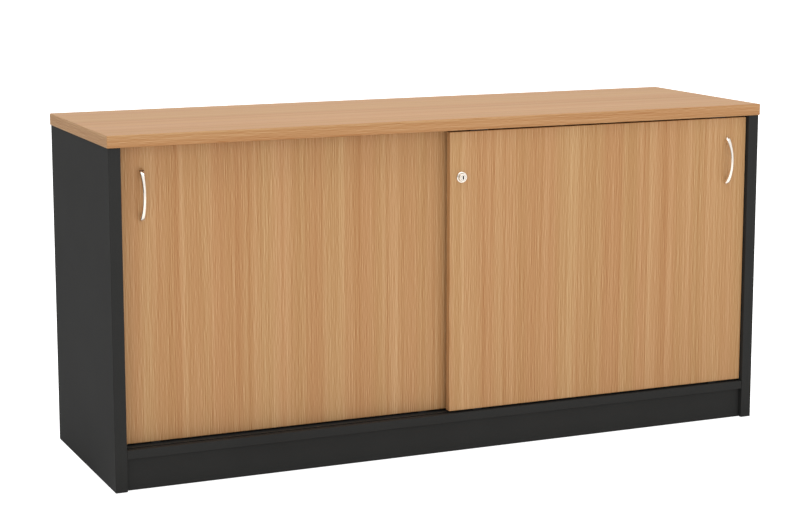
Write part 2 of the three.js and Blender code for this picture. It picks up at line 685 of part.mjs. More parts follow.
const credenza = new THREE.Group();
credenza.name = 'credenza';
credenza.add(topPanel(), sidePanel('left_side_panel', -1), sidePanel('right_side_panel', 1));
credenza.add(basePanel(), centreDivider(), plainBoards(), tracks());
for (const [side, hand] of [['left', -1], ['right', 1]]) {
  credenza.add(shelfBay(side, hand), camFittings(side, hand), glides(side, hand));
}
credenza.add(slidingDoor('left', -1, rearLaneY, false), slidingDoor('right', 1, frontLaneY, true));

export default credenza;
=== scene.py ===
"""The visible office credenza: boards, sliding doors, handles, lock and fittings, with their finishes.

Lengths are in metres. +X runs to the right, -Y is the front and +Z is up.
"""
import logging
import math
from dataclasses import dataclass, field
from enum import Enum
from typing import Mapping, Sequence, Union

import bmesh
import bpy
import numpy as np
from mathutils import Matrix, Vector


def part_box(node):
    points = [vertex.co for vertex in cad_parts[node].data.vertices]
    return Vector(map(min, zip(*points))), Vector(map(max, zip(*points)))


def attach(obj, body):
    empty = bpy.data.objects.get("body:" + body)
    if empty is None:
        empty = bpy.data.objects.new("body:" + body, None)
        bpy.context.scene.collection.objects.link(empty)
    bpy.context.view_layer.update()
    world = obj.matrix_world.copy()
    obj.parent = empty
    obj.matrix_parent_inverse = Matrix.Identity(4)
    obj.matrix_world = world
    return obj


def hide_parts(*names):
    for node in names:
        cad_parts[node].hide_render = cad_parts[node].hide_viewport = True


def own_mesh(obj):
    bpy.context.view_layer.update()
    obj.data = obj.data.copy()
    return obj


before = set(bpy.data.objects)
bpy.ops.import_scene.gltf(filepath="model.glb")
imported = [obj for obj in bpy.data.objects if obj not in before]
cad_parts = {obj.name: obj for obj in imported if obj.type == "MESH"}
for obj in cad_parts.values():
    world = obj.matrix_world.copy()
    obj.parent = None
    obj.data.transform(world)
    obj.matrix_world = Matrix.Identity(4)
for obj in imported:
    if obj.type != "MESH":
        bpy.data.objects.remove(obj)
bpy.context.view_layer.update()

Array = np.ndarray
Colour = tuple[float, float, float]
Material = bpy.types.Material
Mesh = bpy.types.Mesh
Value = Union[float, "Socket"]

LOG = logging.getLogger("credenza")
PHOTO_WIDTH = 800
MERGE_DISTANCE = 1e-6
EASED_SHARE = 0.48
FACING = 0.75
SECOND_FINISH = 1
CORE = 2
FINISHES = 3
FINE_SIDES = 48
SMALL_SIDES = 28
ROWS = ("front", "back")


class Axis(Enum):
    """An axis of the shared frame, by its place in a point."""

    X = 0
    Y = 1
    Z = 2


class Side(Enum):
    """A side of the case, with the sign of X on that side."""

    LEFT = -1.0
    RIGHT = 1.0

    def __str__(self) -> str:
        """The side's word in the names of nodes."""
        return self.name.lower()


class Grain(Enum):
    """Which way a board's grain runs: the axis along it, the axis across it and the one through it."""

    LENGTHWISE = ("X", "Y", "Z")
    FRONT_TO_BACK = ("Y", "X", "Z")
    UPRIGHT = ("Z", "X", "Y")


class Combine(Enum):
    """What becomes of the surfaces that a mesh is combined with."""

    ADDED = "UNION"
    CUT_OUT = "DIFFERENCE"


def screen_colour(*shares: int) -> Colour:
    """A colour as a screen shows it, turned to linear light.

    Args:
        shares: red, green and blue from 0 to 255.

    Returns:
        The linear red, green and blue.
    """
    share = np.array(shares) / 255
    linear = np.where(share <= 0.04045, share / 12.92, ((share + 0.055) / 1.055) ** 2.4)
    return tuple(float(part) for part in linear)


def node_box(node: str) -> tuple[Array, Array]:
    """Lowest and highest corner of a CAD node, as arrays."""
    low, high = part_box(node)
    return np.array(low), np.array(high)


def node_middle(node: str) -> Array:
    """Middle of a CAD node's box."""
    low, high = node_box(node)
    return (low + high) / 2


def node_half(node: str) -> Array:
    """Half the size of a CAD node's box."""
    low, high = node_box(node)
    return (high - low) / 2


@dataclass
class Shell:
    """A closed surface: its points, its four-sided faces and the flat caps that close it."""

    points: Array
    quads: Array
    caps: list[list[int]] = field(default_factory=list)

    def faces(self, first: int) -> list[list[int]]:
        """Every face as point numbers, counted on from `first`."""
        shifted_caps = [[index + first for index in cap] for cap in self.caps]
        return (self.quads + first).tolist() + shifted_caps


def grid_quads(rows: int, columns: int, wrap_rows: bool = False) -> Array:
    """Faces of a grid of points whose columns close on themselves.

    Args:
        rows: how many rings the grid has.
        columns: how many points each ring has.
        wrap_rows: whether the last ring joins the first.

    Returns:
        Four point numbers for each face.
    """
    row, column = np.meshgrid(np.arange(rows if wrap_rows else rows - 1), np.arange(columns), indexing="ij")
    here, ahead = row * columns, (row + 1) % rows * columns
    beside = (column + 1) % columns
    corners = [here + column, here + beside, ahead + beside, ahead + column]
    return np.stack(corners, axis=-1).reshape(-1, 4)


def ring_caps(rows: int, columns: int) -> list[list[int]]:
    """Flat caps on the first and the last ring of a grid."""
    return [list(range(columns)), list(range((rows - 1) * columns, rows * columns))]


def rounded_block(low: Array, high: Array, radius: float, steps: int = 4) -> Shell:
    """A board with rounded edges and corners.

    An angle t runs round the four corners of each ring, and an angle s runs up a quarter circle at the
    foot and another at the head. A point is the nearest inner corner plus the radius times
    (cos s cos t, cos s sin t, sin s).

    Args:
        low: the lowest corner.
        high: the highest corner.
        radius: the rounding of every edge.
        steps: facets to each quarter circle.

    Returns:
        The closed surface.
    """
    inner_low = low + radius
    inner_high = high - radius
    quarter = np.linspace(0.0, math.pi / 2, steps + 1)
    turn = (np.arange(4)[:, None] * math.pi / 2 + quarter).ravel()
    corner_x = np.repeat([inner_high[0], inner_low[0], inner_low[0], inner_high[0]], steps + 1)
    corner_y = np.repeat([inner_high[1], inner_high[1], inner_low[1], inner_low[1]], steps + 1)
    rise = np.concatenate([quarter - math.pi / 2, quarter])
    level_z = np.repeat([inner_low[2], inner_high[2]], steps + 1)
    x = corner_x + radius * np.cos(rise)[:, None] * np.cos(turn)
    y = corner_y + radius * np.cos(rise)[:, None] * np.sin(turn)
    z = np.broadcast_to((level_z + radius * np.sin(rise))[:, None], x.shape)
    points = np.stack([x, y, z], axis=-1).reshape(-1, 3)
    return Shell(points, grid_quads(*x.shape), ring_caps(*x.shape))


def square_block(low: Array, high: Array) -> Shell:
    """A sharp block for cutting grooves and mortises: two rings of four corners with caps.

    Args:
        low: the lowest corner.
        high: the highest corner.

    Returns:
        The closed surface.
    """
    x = np.array([low[0], high[0], high[0], low[0]])
    y = np.array([low[1], low[1], high[1], high[1]])
    rings = [np.stack([x, y, np.full(4, level)], axis=-1) for level in (low[2], high[2])]
    return Shell(np.concatenate(rings), grid_quads(2, 4), ring_caps(2, 4))


def stepped(start: float, *steps: tuple[float, float]) -> Array:
    """The profile of a turned piece with straight sides, from the axis out and back to it.

    Args:
        start: the height of its first face.
        steps: the radius of each side in turn, and the height at which that side ends.

    Returns:
        Rows of radius and height.
    """
    radii, ends = np.array(steps).T
    outline = np.concatenate([[0.0], np.repeat(radii, 2), [0.0]])
    return np.stack([outline, np.repeat([start, *ends], 2)], axis=-1)


def softened(profile: Array, radius: float, steps: int = 3, ring: bool = False) -> Array:
    """A profile with its corners rounded.

    Each corner C gives way to the curve (1-t)^2 A + 2t(1-t) C + t^2 B, where A and B lie on the two
    sides, one radius from C or just under half of a short side.

    Args:
        profile: the corners, as rows of radius and height.
        radius: how far from the corner the rounding starts.
        steps: facets to each rounded corner.
        ring: whether the last corner joins the first; otherwise the two ends stay as they are.

    Returns:
        The rounded profile.
    """
    corners = profile if ring else profile[1:-1]
    before = np.roll(profile, 1, axis=0) if ring else profile[:-2]
    after = np.roll(profile, -1, axis=0) if ring else profile[2:]

    def towards(other: Array) -> Array:
        """The points on the way to the neighbouring corners where the rounding starts.

        Args:
            other: the neighbouring corners.

        Returns:
            The points.
        """
        run = other - corners
        length = np.linalg.norm(run, axis=1, keepdims=True)
        return corners + run / length * np.minimum(radius, EASED_SHARE * length)

    t = np.linspace(0.0, 1.0, steps + 1)[None, :, None]
    start = towards(before)[:, None, :]
    end = towards(after)[:, None, :]
    curve = (1 - t) ** 2 * start + 2 * t * (1 - t) * corners[:, None, :] + t ** 2 * end
    rounded = curve.reshape(-1, 2)
    return rounded if ring else np.concatenate([profile[:1], rounded, profile[-1:]])


def turned(profile: Array, centre: Array, axis: Axis, sides: int = SMALL_SIDES, ring: bool = False) -> Shell:
    """A turned piece: a profile of radius and height carried round an axis.

    A point is (r cos t, r sin t, h) with h laid along the axis.

    Args:
        profile: rows of radius and height; an open one starts and ends on the axis.
        centre: the point on the axis where the height is zero.
        axis: the axis of the turning.
        sides: facets round the axis.
        ring: whether the profile is a closed loop that stays clear of the axis.

    Returns:
        The closed surface.
    """
    turn = np.arange(sides) * 2 * math.pi / sides
    radius, height = profile.T
    across = radius[:, None] * np.cos(turn)
    up = radius[:, None] * np.sin(turn)
    along = np.broadcast_to(height[:, None], across.shape)
    local = np.roll(np.stack([across, up, along], axis=-1), axis.value + 1, axis=-1)
    return Shell((local + centre).reshape(-1, 3), grid_quads(len(profile), sides, ring))


def bore(point: Array, axis: Axis, span: Sequence[float], radius: float, sides: int = SMALL_SIDES) -> Shell:
    """A straight round cutter.

    Args:
        point: a point on its centre line.
        axis: the axis that it runs along.
        span: where it starts and ends on that axis.
        radius: its radius.
        sides: facets round it.

    Returns:
        The closed surface.
    """
    start, end = span
    centre = np.where(np.arange(3) == axis.value, start, point)
    return turned(stepped(0.0, (radius, end - start)), centre, axis, sides)


def swept(path: Array, first: Array, second: Array, sides: int, power: Array | float = 1.0) -> Shell:
    """A bar: an oval section carried along a path.

    A point is the path's point plus c times the first half-axis plus s times the second. c and s are cos t
    and sin t with their sizes raised to a power: 1 gives an ellipse, less than 1 a squarer oval.

    Args:
        path: the centre line.
        first: one half-axis of the section at each point of the path.
        second: the other half-axis.
        sides: facets round the section.
        power: the power of the section's cosine and sine, one for all points of the path or one for each.

    Returns:
        The closed surface, capped at both ends.
    """
    turn = (np.arange(sides) * 2 * math.pi / sides)[None, :, None]
    powers = np.reshape(power, (-1, 1, 1))
    across = np.sign(np.cos(turn)) * np.abs(np.cos(turn)) ** powers
    along = np.sign(np.sin(turn)) * np.abs(np.sin(turn)) ** powers
    points = path[:, None, :] + across * first[:, None, :] + along * second[:, None, :]
    return Shell(points.reshape(-1, 3), grid_quads(len(path), sides), ring_caps(len(path), sides))


def mesh_of(name: str, shells: Sequence[Shell], number: int = 0) -> Mesh:
    """One mesh from closed surfaces, with doubles merged and faces turned outwards.

    Args:
        name: the mesh's name.
        shells: the surfaces.
        number: the finish number of every face.

    Returns:
        The mesh, with an empty place for each finish.
    """
    starts = np.cumsum([0] + [len(shell.points) for shell in shells])
    points = np.concatenate([shell.points for shell in shells])
    faces = [face for shell, first in zip(shells, starts) for face in shell.faces(int(first))]
    mesh = bpy.data.meshes.new(name)
    mesh.from_pydata(points.tolist(), [], faces)
    work = bmesh.new()
    work.from_mesh(mesh)
    bmesh.ops.remove_doubles(work, verts=work.verts, dist=MERGE_DISTANCE)
    bmesh.ops.recalc_face_normals(work, faces=work.faces)
    work.to_mesh(mesh)
    work.free()
    for _ in range(FINISHES):
        mesh.materials.append(None)
    mesh.polygons.foreach_set("material_index", np.full(len(mesh.polygons), number, dtype=np.int32))
    return mesh


def combined(mesh: Mesh, others: Sequence[Shell], how: Combine, number: int = 0) -> Mesh:
    """A mesh with closed surfaces added to it or cut out of it.

    Args:
        mesh: the mesh, which is used up.
        others: the surfaces, which keep clear of each other.
        how: what becomes of them.
        number: the finish number that their faces bring with them.

    Returns:
        The new mesh.
    """
    body = bpy.data.objects.new("work", mesh)
    tool = bpy.data.objects.new("tool", mesh_of("tool", others, number))
    for item in (body, tool):
        bpy.context.scene.collection.objects.link(item)
    step = body.modifiers.new("combine", "BOOLEAN")
    step.operation = how.value
    step.solver = "EXACT"
    step.object = tool
    evaluated = body.evaluated_get(bpy.context.evaluated_depsgraph_get())
    result = bpy.data.meshes.new_from_object(evaluated)
    for item in (body, tool):
        spent = item.data
        bpy.data.objects.remove(item)
        bpy.data.meshes.remove(spent)
    return result


def carved(mesh: Mesh, cutters: Sequence[Shell], number: int = 0) -> Mesh:
    """A mesh with closed surfaces cut out of it, whose cut faces take a finish number."""
    return combined(mesh, cutters, Combine.CUT_OUT, number)


class Socket:
    """A value in a shader, with Python's operators for its maths."""

    def __init__(self, graph: "Graph", output: bpy.types.NodeSocket) -> None:
        """Keeps the graph and the node's output."""
        self.graph = graph
        self.output = output

    def __add__(self, other: Value) -> "Socket":
        """self + other."""
        return self.graph.math("ADD", self, other)

    def __sub__(self, other: Value) -> "Socket":
        """self - other."""
        return self.graph.math("SUBTRACT", self, other)

    def __rsub__(self, other: Value) -> "Socket":
        """other - self."""
        return self.graph.math("SUBTRACT", other, self)

    def __mul__(self, other: Value) -> "Socket":
        """self * other."""
        return self.graph.math("MULTIPLY", self, other)

    __radd__ = __add__
    __rmul__ = __mul__


@dataclass(frozen=True)
class Relief:
    """How far a material's bump lifts the surface, and how strongly it shows."""

    strength: float
    distance: float


class Graph:
    """The shader nodes of one material, or of the surround."""

    def __init__(self, owner: Union[Material, bpy.types.World]) -> None:
        """Starts with no node at all."""
        self.owner = owner
        owner.use_nodes = True
        self.tree = owner.node_tree
        self.tree.nodes.clear()

    @classmethod
    def of_material(cls, name: str) -> "Graph":
        """The empty graph of a new material."""
        return cls(bpy.data.materials.new(name))

    def node(
        self,
        kind: str,
        settings: Mapping[str, object] | None = None,
        sockets: Mapping[str | int, object] | None = None,
        output: str | int = 0,
    ) -> Socket:
        """Adds a node, sets it up and feeds its sockets.

        Args:
            kind: the node's type.
            settings: its own settings, set first; "stops" gives a ramp's places and colours.
            sockets: a value or a link for each input, by name or number.
            output: which output is wanted.

        Returns:
            The wanted output.
        """
        made = self.tree.nodes.new(kind)
        for name, setting in (settings or {}).items():
            if name == "stops":
                self._set_stops(made.color_ramp, setting)
            else:
                setattr(made, name, setting)
        for key, value in (sockets or {}).items():
            if isinstance(value, Socket):
                self.tree.links.new(value.output, made.inputs[key])
            else:
                made.inputs[key].default_value = value
        return Socket(self, made.outputs[output] if made.outputs else None)

    @staticmethod
    def _set_stops(ramp: bpy.types.ColorRamp, stops: Sequence[tuple[float, Colour]]) -> None:
        """Gives a ramp its stops.

        Args:
            ramp: the ramp.
            stops: a place from 0 to 1 and a colour for each stop.
        """
        while len(ramp.elements) < len(stops):
            ramp.elements.new(1.0)
        for element, (place, colour) in zip(ramp.elements, stops):
            element.position = place
            element.color = (*colour, 1.0)

    def math(self, operation: str, *values: Value) -> Socket:
        """A Math node on one, two or three values."""
        return self.node("ShaderNodeMath", {"operation": operation}, dict(enumerate(values)))

    def vector(self, x: Value, y: Value, z: Value) -> Socket:
        """Three values as one vector."""
        return self.node("ShaderNodeCombineXYZ", None, {"X": x, "Y": y, "Z": z})

    def place(self, kind: str = "Object") -> Socket:
        """A point's coordinates, in the object's own frame unless another kind is named."""
        return self.node("ShaderNodeTexCoord", None, None, kind)

    def parts(self, point: Socket, axes: Sequence[str] = "XYZ") -> list[Socket]:
        """A vector's parts, by axis name."""
        return [self.node("ShaderNodeSeparateXYZ", None, {"Vector": point}, axis) for axis in axes]

    def noise(self, point: Socket, detail: float = 2.0, rate: float = 1.0) -> Socket:
        """Smooth noise from 0 to 1 at a point, with `rate` waves to the metre."""
        return self.node("ShaderNodeTexNoise", None, {"Vector": point, "Scale": rate, "Detail": detail}, "Fac")

    def chance(self, point: Socket) -> Socket:
        """An unlike value from 0 to 1 for each unlike point."""
        return self.node("ShaderNodeTexWhiteNoise", None, {"Vector": point})

    def speckle(self, rate: float) -> Socket:
        """Smooth noise from 0 to 1 that is alike in every direction of the object."""
        return self.noise(self.place(), rate=rate)

    def stretch(self, value: Socket, low: float, high: float) -> Socket:
        """A value run from 0 at `low` to 1 at `high`, with soft ends."""
        sockets = {"Value": value, "From Min": low, "From Max": high}
        return self.node("ShaderNodeMapRange", {"interpolation_type": "SMOOTHSTEP"}, sockets)

    def ramp(self, value: Socket, *stops: tuple[float, Colour]) -> Socket:
        """A colour read off a row of stops."""
        return self.node("ShaderNodeValToRGB", {"stops": stops}, {"Fac": value}, "Color")

    def bump(self, height: Socket, relief: Relief) -> Socket:
        """A surface normal that follows a height."""
        sockets = {"Strength": relief.strength, "Distance": relief.distance, "Height": height}
        return self.node("ShaderNodeBump", None, sockets)

    def finish(self, **sockets: object) -> Material:
        """Ends the graph in one surface shader.

        Args:
            sockets: the shader's inputs, named by words joined by underscores.

        Returns:
            The material.
        """
        named = {name.replace("_", " "): value for name, value in sockets.items()}
        surface = self.node("ShaderNodeBsdfPrincipled", None, named)
        self.node("ShaderNodeOutputMaterial", None, {"Surface": surface})
        return self.owner


@dataclass(frozen=True)
class Streak:
    """One layer of wood grain: its waves to the metre across and along the grain, and its weight."""

    across_rate: float
    along_rate: float
    weight: float


@dataclass(frozen=True)
class BeechLaminate:
    """Satin wood-look laminate: soft bands, fine straight lines, and thin dashes and ticks."""

    name: str
    grain: Grain
    offset: float = 0.0
    dark: Colour = screen_colour(164, 113, 65)
    middle: Colour = screen_colour(183, 138, 92)
    light: Colour = screen_colour(202, 163, 119)
    yellower: Colour = (0.988, 1.012, 0.994)
    redder: Colour = (1.012, 0.988, 1.006)
    drift: Streak = Streak(5.0, 1.5, 0.008)
    blush: Streak = Streak(28.0, 0.5, 1.0)
    bands: Streak = Streak(20.0, 0.45, 0.125)
    bars: Streak = Streak(55.0, 0.4, 0.14)
    stripes: Streak = Streak(110.0, 0.5, 0.13)
    threads: Streak = Streak(170.0, 5.0, 0.05)
    lines: Streak = Streak(420.0, 1.6, 0.2)
    hairs: Streak = Streak(205.0, 15.0, 0.3)
    ticks: Streak = Streak(250.0, 55.0, 0.25)
    most_dashes_shifted: float = 50.0
    leaf_rate: float = 6.57
    first_leaf: float = -0.441
    leaf_weight: float = 0.16
    leaf_end_share: float = 0.5
    lowest_tone: float = 0.18
    dark_band_redness: float = 0.2
    roughness: float = 0.42
    line_roughness: float = 0.08
    gloss: float = 0.22
    relief: Relief = Relief(0.1, 0.0002)

    def material(self) -> Material:
        """The laminate as a material.

        The tone is a sum of five smooth noises stretched along the grain, from broad bands to fine lines,
        and two layers of tapered dashes. A slow noise lets them all drift sideways a little along the
        board. The print repeats the leaves of a veneer: each starts pale at a straight joint and ends a
        little darker, by its own chance. Darker bands are redder.

        Returns:
            The material.
        """
        graph = Graph.of_material(self.name)
        along, side, through = graph.parts(graph.place(), self.grain.value)
        side = side + self.offset

        def layer(streak: Streak, across: Socket) -> Socket:
            """Smooth noise from 0 to 1 at a streak's own rates.

            Args:
                streak: the layer.
                across: the place across the grain.

            Returns:
                The noise.
            """
            rate = streak.across_rate
            point = graph.vector(across * rate, through * rate, along * streak.along_rate)
            return graph.noise(point, 0.0)

        def dashes(streak: Streak, across: Socket) -> Socket:
            """Dashes from -1 to 1: sin(2 pi u) sin(pi v) times a chance from -1 to 1.

            u counts columns of dashes across the grain, and v counts dashes along it, from a start that
            differs from column to column.

            Args:
                streak: the layer.
                across: the place across the grain.

            Returns:
                The height of the dashes.
            """
            place = across * streak.across_rate
            column = graph.math("FLOOR", place)
            start = graph.chance(graph.vector(column, 0.5, 0.5)) * self.most_dashes_shifted
            height = along * streak.along_rate + start
            strength = graph.chance(graph.vector(column, graph.math("FLOOR", height), 1.5)) * 2.0 - 1.0
            taper = graph.math("SINE", graph.math("FRACT", height) * math.pi)
            return graph.math("SINE", place * math.tau) * taper * strength

        across = side + (layer(self.drift, side) - 0.5) * self.drift.weight
        broad = (self.bands, self.bars, self.stripes, self.threads, self.lines)
        fine = (self.hairs, self.ticks)
        smooth = [graph.stretch(layer(streak, across), 0.25, 0.75) for streak in broad]
        broken = [dashes(streak, across + through) for streak in fine]
        weighted = [part * streak.weight for part, streak in zip(smooth + broken, broad + fine)]
        leaf = (side - self.first_leaf) * self.leaf_rate
        within = graph.math("FRACT", leaf)
        chance = graph.chance(graph.vector(graph.math("FLOOR", leaf), 0.5, 0.5))
        leaf_end = graph.math("POWER", within, 6.0) * self.leaf_end_share
        fade = graph.math("POWER", 1.0 - within, 3.0) - leaf_end
        weighted.append(fade * chance * self.leaf_weight)
        height = sum(weighted, self.lowest_tone)
        tone = graph.ramp(height, (0.0, self.dark), (0.5, self.middle), (1.0, self.light))
        redness = layer(self.blush, across) - (smooth[0] - 0.5) * self.dark_band_redness
        tint = graph.ramp(redness, (0.3, self.yellower), (0.7, self.redder))
        return graph.finish(
            Base_Color=graph.node("ShaderNodeVectorMath", {"operation": "MULTIPLY"}, {0: tone, 1: tint}),
            Roughness=self.roughness + smooth[-1] * self.line_roughness,
            Specular_IOR_Level=self.gloss,
            Normal=graph.bump(broken[0] + broken[1], self.relief),
        )


@dataclass(frozen=True)
class CharcoalLaminate:
    """Matt charcoal melamine with a fine pearl texture."""

    name: str
    deep: Colour = screen_colour(36, 36, 35)
    pale: Colour = screen_colour(50, 50, 49)
    pearl_rate: float = 900.0
    cloud_rate: float = 7.0
    roughness: float = 0.6
    pearl_roughness: float = 0.12
    gloss: float = 0.125
    relief: Relief = Relief(0.2, 0.00012)

    def material(self) -> Material:
        """The laminate as a material: a fine pearl noise and a slow cloud set its tone, gloss and relief."""
        graph = Graph.of_material(self.name)
        pearl = graph.speckle(self.pearl_rate)
        tone = graph.stretch(pearl, 0.25, 0.75) * 0.65 + graph.speckle(self.cloud_rate) * 0.35
        return graph.finish(
            Base_Color=graph.ramp(tone, (0.15, self.deep), (0.85, self.pale)),
            Roughness=self.roughness + pearl * self.pearl_roughness,
            Specular_IOR_Level=self.gloss,
            Normal=graph.bump(pearl, self.relief),
        )


@dataclass(frozen=True)
class Chipboard:
    """Raw board core, seen only inside holes, grooves and mortises."""

    name: str
    dark: Colour = screen_colour(120, 88, 58)
    pale: Colour = screen_colour(190, 156, 114)
    chip_rate: float = 420.0
    grit_rate: float = 900.0
    roughness: float = 0.85
    relief: Relief = Relief(0.4, 0.0003)

    def material(self) -> Material:
        """The core as a material: pressed chips as cells of mixed tone."""
        graph = Graph.of_material(self.name)
        sockets = {"Vector": graph.place(), "Scale": self.chip_rate}
        chips = graph.node("ShaderNodeTexVoronoi", None, sockets, "Distance")
        grit = graph.speckle(self.grit_rate)
        return graph.finish(
            Base_Color=graph.ramp(chips * 0.6 + grit * 0.5, (0.2, self.pale), (0.8, self.dark)),
            Roughness=self.roughness + grit * 0.1,
            Normal=graph.bump(grit, self.relief),
        )


@dataclass(frozen=True)
class Metal:
    """A plated metal with faint drawn lines along one axis."""

    name: str
    tone: Colour
    roughness: float
    line_roughness: float
    along: Grain
    lines: Streak = Streak(2600.0, 60.0, 0.4)
    cloud_rate: float = 140.0
    dullest: float = 0.88
    relief: Relief = Relief(0.06, 0.00005)

    def material(self) -> Material:
        """The metal as a material: drawn lines vary its gloss, and with a slow cloud its colour."""
        graph = Graph.of_material(self.name)
        along, across, through = graph.parts(graph.place(), self.along.value)
        rate = self.lines.across_rate
        drawn = graph.noise(graph.vector(across * rate, through * rate, along * self.lines.along_rate), 1.0)
        cloud = graph.speckle(self.cloud_rate)
        dull = tuple(part * self.dullest for part in self.tone)
        mixed = cloud * (1.0 - self.lines.weight) + drawn * self.lines.weight
        return graph.finish(
            Base_Color=graph.ramp(mixed, (0.3, dull), (0.7, self.tone)),
            Metallic=1.0,
            Roughness=self.roughness + (drawn - 0.5) * self.line_roughness,
            Normal=graph.bump(drawn, self.relief),
        )


@dataclass(frozen=True)
class MouldedPlastic:
    """A moulded plastic with a fine spark-eroded texture."""

    name: str
    tone: Colour
    roughness: float
    grain_rate: float = 1600.0
    cloud_rate: float = 60.0
    darkest: float = 0.85
    grain_roughness: float = 0.15
    relief: Relief = Relief(0.15, 0.0001)

    def material(self) -> Material:
        """The plastic as a material: a fine grain in its gloss and relief, and with a slow cloud its colour."""
        graph = Graph.of_material(self.name)
        grain = graph.speckle(self.grain_rate)
        cloud = graph.speckle(self.cloud_rate)
        shaded = tuple(part * self.darkest for part in self.tone)
        return graph.finish(
            Base_Color=graph.ramp(cloud * 0.5 + grain * 0.5, (0.25, shaded), (0.75, self.tone)),
            Roughness=self.roughness + (grain - 0.5) * self.grain_roughness,
            Normal=graph.bump(grain, self.relief),
        )


def made(finish: BeechLaminate | CharcoalLaminate | Chipboard | Metal | MouldedPlastic) -> Material:
    """A dataclass field that holds a finish's material."""
    return field(default_factory=finish.material)


@dataclass(frozen=True)
class Palette:
    """Every finish of the credenza, made once."""

    door: Material = made(BeechLaminate("beech_upright", Grain.UPRIGHT))
    door_edge: Material = made(BeechLaminate("beech_door_band", Grain.LENGTHWISE, 0.4))
    worktop: Material = made(BeechLaminate("beech_lengthwise", Grain.LENGTHWISE, 0.9, gloss=0.2))
    worktop_end: Material = made(BeechLaminate("beech_end_band", Grain.FRONT_TO_BACK, 0.2))
    carcass: Material = made(CharcoalLaminate("charcoal"))
    core: Material = made(Chipboard("chipboard"))
    chrome: Material = made(Metal("chrome", (0.95, 0.88, 0.79), 0.14, 0.08, Grain.UPRIGHT))
    zinc: Material = made(Metal("zinc", (0.56, 0.57, 0.58), 0.34, 0.2, Grain.FRONT_TO_BACK))
    # Black moulded plastic for tracks, housings, guides and glides; on the keyway's walls it is painted shade.
    black: Material = made(MouldedPlastic("black_moulding", screen_colour(30, 30, 30), 0.45))
    nylon: Material = made(MouldedPlastic("nylon", screen_colour(52, 52, 52), 0.4))


@dataclass
class Assembly:
    """What sub-assemblies share: finishes, clearances, fitting sizes and ways to cut and place a piece."""

    palette: Palette
    seam: float = 0.00025
    play: float = 0.0003
    cut_past: float = 0.001
    board_easing: float = 0.0009
    pin_radius: float = 0.0025
    pin_sink: float = 0.007
    nail_radius: float = 0.00125
    screw_radius: float = 0.002
    tube_radius: float = 0.0102

    def place(
        self,
        node: str,
        mesh: Mesh,
        finishes: Sequence[Material],
        body: str,
        slot: str,
        sharp: float | None = 40.0,
    ) -> bpy.types.Object:
        """Puts a finished mesh in the scene, in the place of a CAD node.

        Args:
            node: the node that it stands for.
            mesh: the finished mesh.
            finishes: the materials, in the order of the mesh's finish numbers.
            body: the body that it rides on.
            slot: the record's material slot; not used.
            sharp: the angle above which an edge stays sharp, or None for a board with eased edges.

        Returns:
            The piece.
        """
        mesh.name = f"{node}_mesh"
        numbers = np.empty(len(mesh.polygons), dtype=np.int32)
        mesh.polygons.foreach_get("material_index", numbers)
        mesh.materials.clear()
        for finish in finishes:
            mesh.materials.append(finish)
        mesh.polygons.foreach_set("material_index", numbers)
        mesh.shade_smooth()
        piece = bpy.data.objects.new(f"{node}_piece", mesh)
        bpy.context.scene.collection.objects.link(piece)
        if sharp is None:
            weighted = piece.modifiers.new("flat_faces", "WEIGHTED_NORMAL")
            weighted.weight = 100
        else:
            mesh.set_sharp_from_angle(angle=math.radians(sharp))
        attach(piece, body)
        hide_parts(node)
        LOG.info("%s: %d faces", piece.name, len(mesh.polygons))
        return piece

    def board(self, node: str, easing: float) -> Mesh:
        """A plain board with eased edges in a node's box."""
        return mesh_of(node, [rounded_block(*node_box(node), easing)])

    def band(self, mesh: Mesh, axis: Axis) -> None:
        """Gives faces that look along an axis the second finish, but leaves the core in cuts alone.

        Args:
            mesh: the mesh.
            axis: the axis that the faces look along.
        """
        normals = np.empty(len(mesh.polygons) * 3, dtype=np.float32)
        mesh.polygons.foreach_get("normal", normals)
        numbers = np.empty(len(mesh.polygons), dtype=np.int32)
        mesh.polygons.foreach_get("material_index", numbers)
        banded = (np.abs(normals.reshape(-1, 3)[:, axis.value]) > FACING) & (numbers != CORE)
        mesh.polygons.foreach_set("material_index", np.where(banded, SECOND_FINISH, numbers))

    def cross_recess(self, mesh: Mesh, centre: Array, axis: Axis, size: Sequence[float]) -> Mesh:
        """A mesh with a cross-shaped recess in its face.

        Args:
            mesh: the mesh, which is used up.
            centre: the middle of the face.
            axis: the axis that the face looks along.
            size: the recess's length, width and depth.

        Returns:
            The new mesh.
        """
        length, width, depth = size
        for long_axis in (other for other in Axis if other is not axis):
            half = np.full(3, width / 2)
            half[axis.value] = depth
            half[long_axis.value] = length / 2
            mesh = carved(mesh, [square_block(centre - half, centre + half)])
        return mesh

    def keep_node(self, node: str, finish: Material) -> None:
        """Leaves a CAD node showing, with a better finish.

        Args:
            node: the node.
            finish: its material.
        """
        for material_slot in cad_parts[node].material_slots:
            material_slot.material = finish
        LOG.info("%s: kept", node)


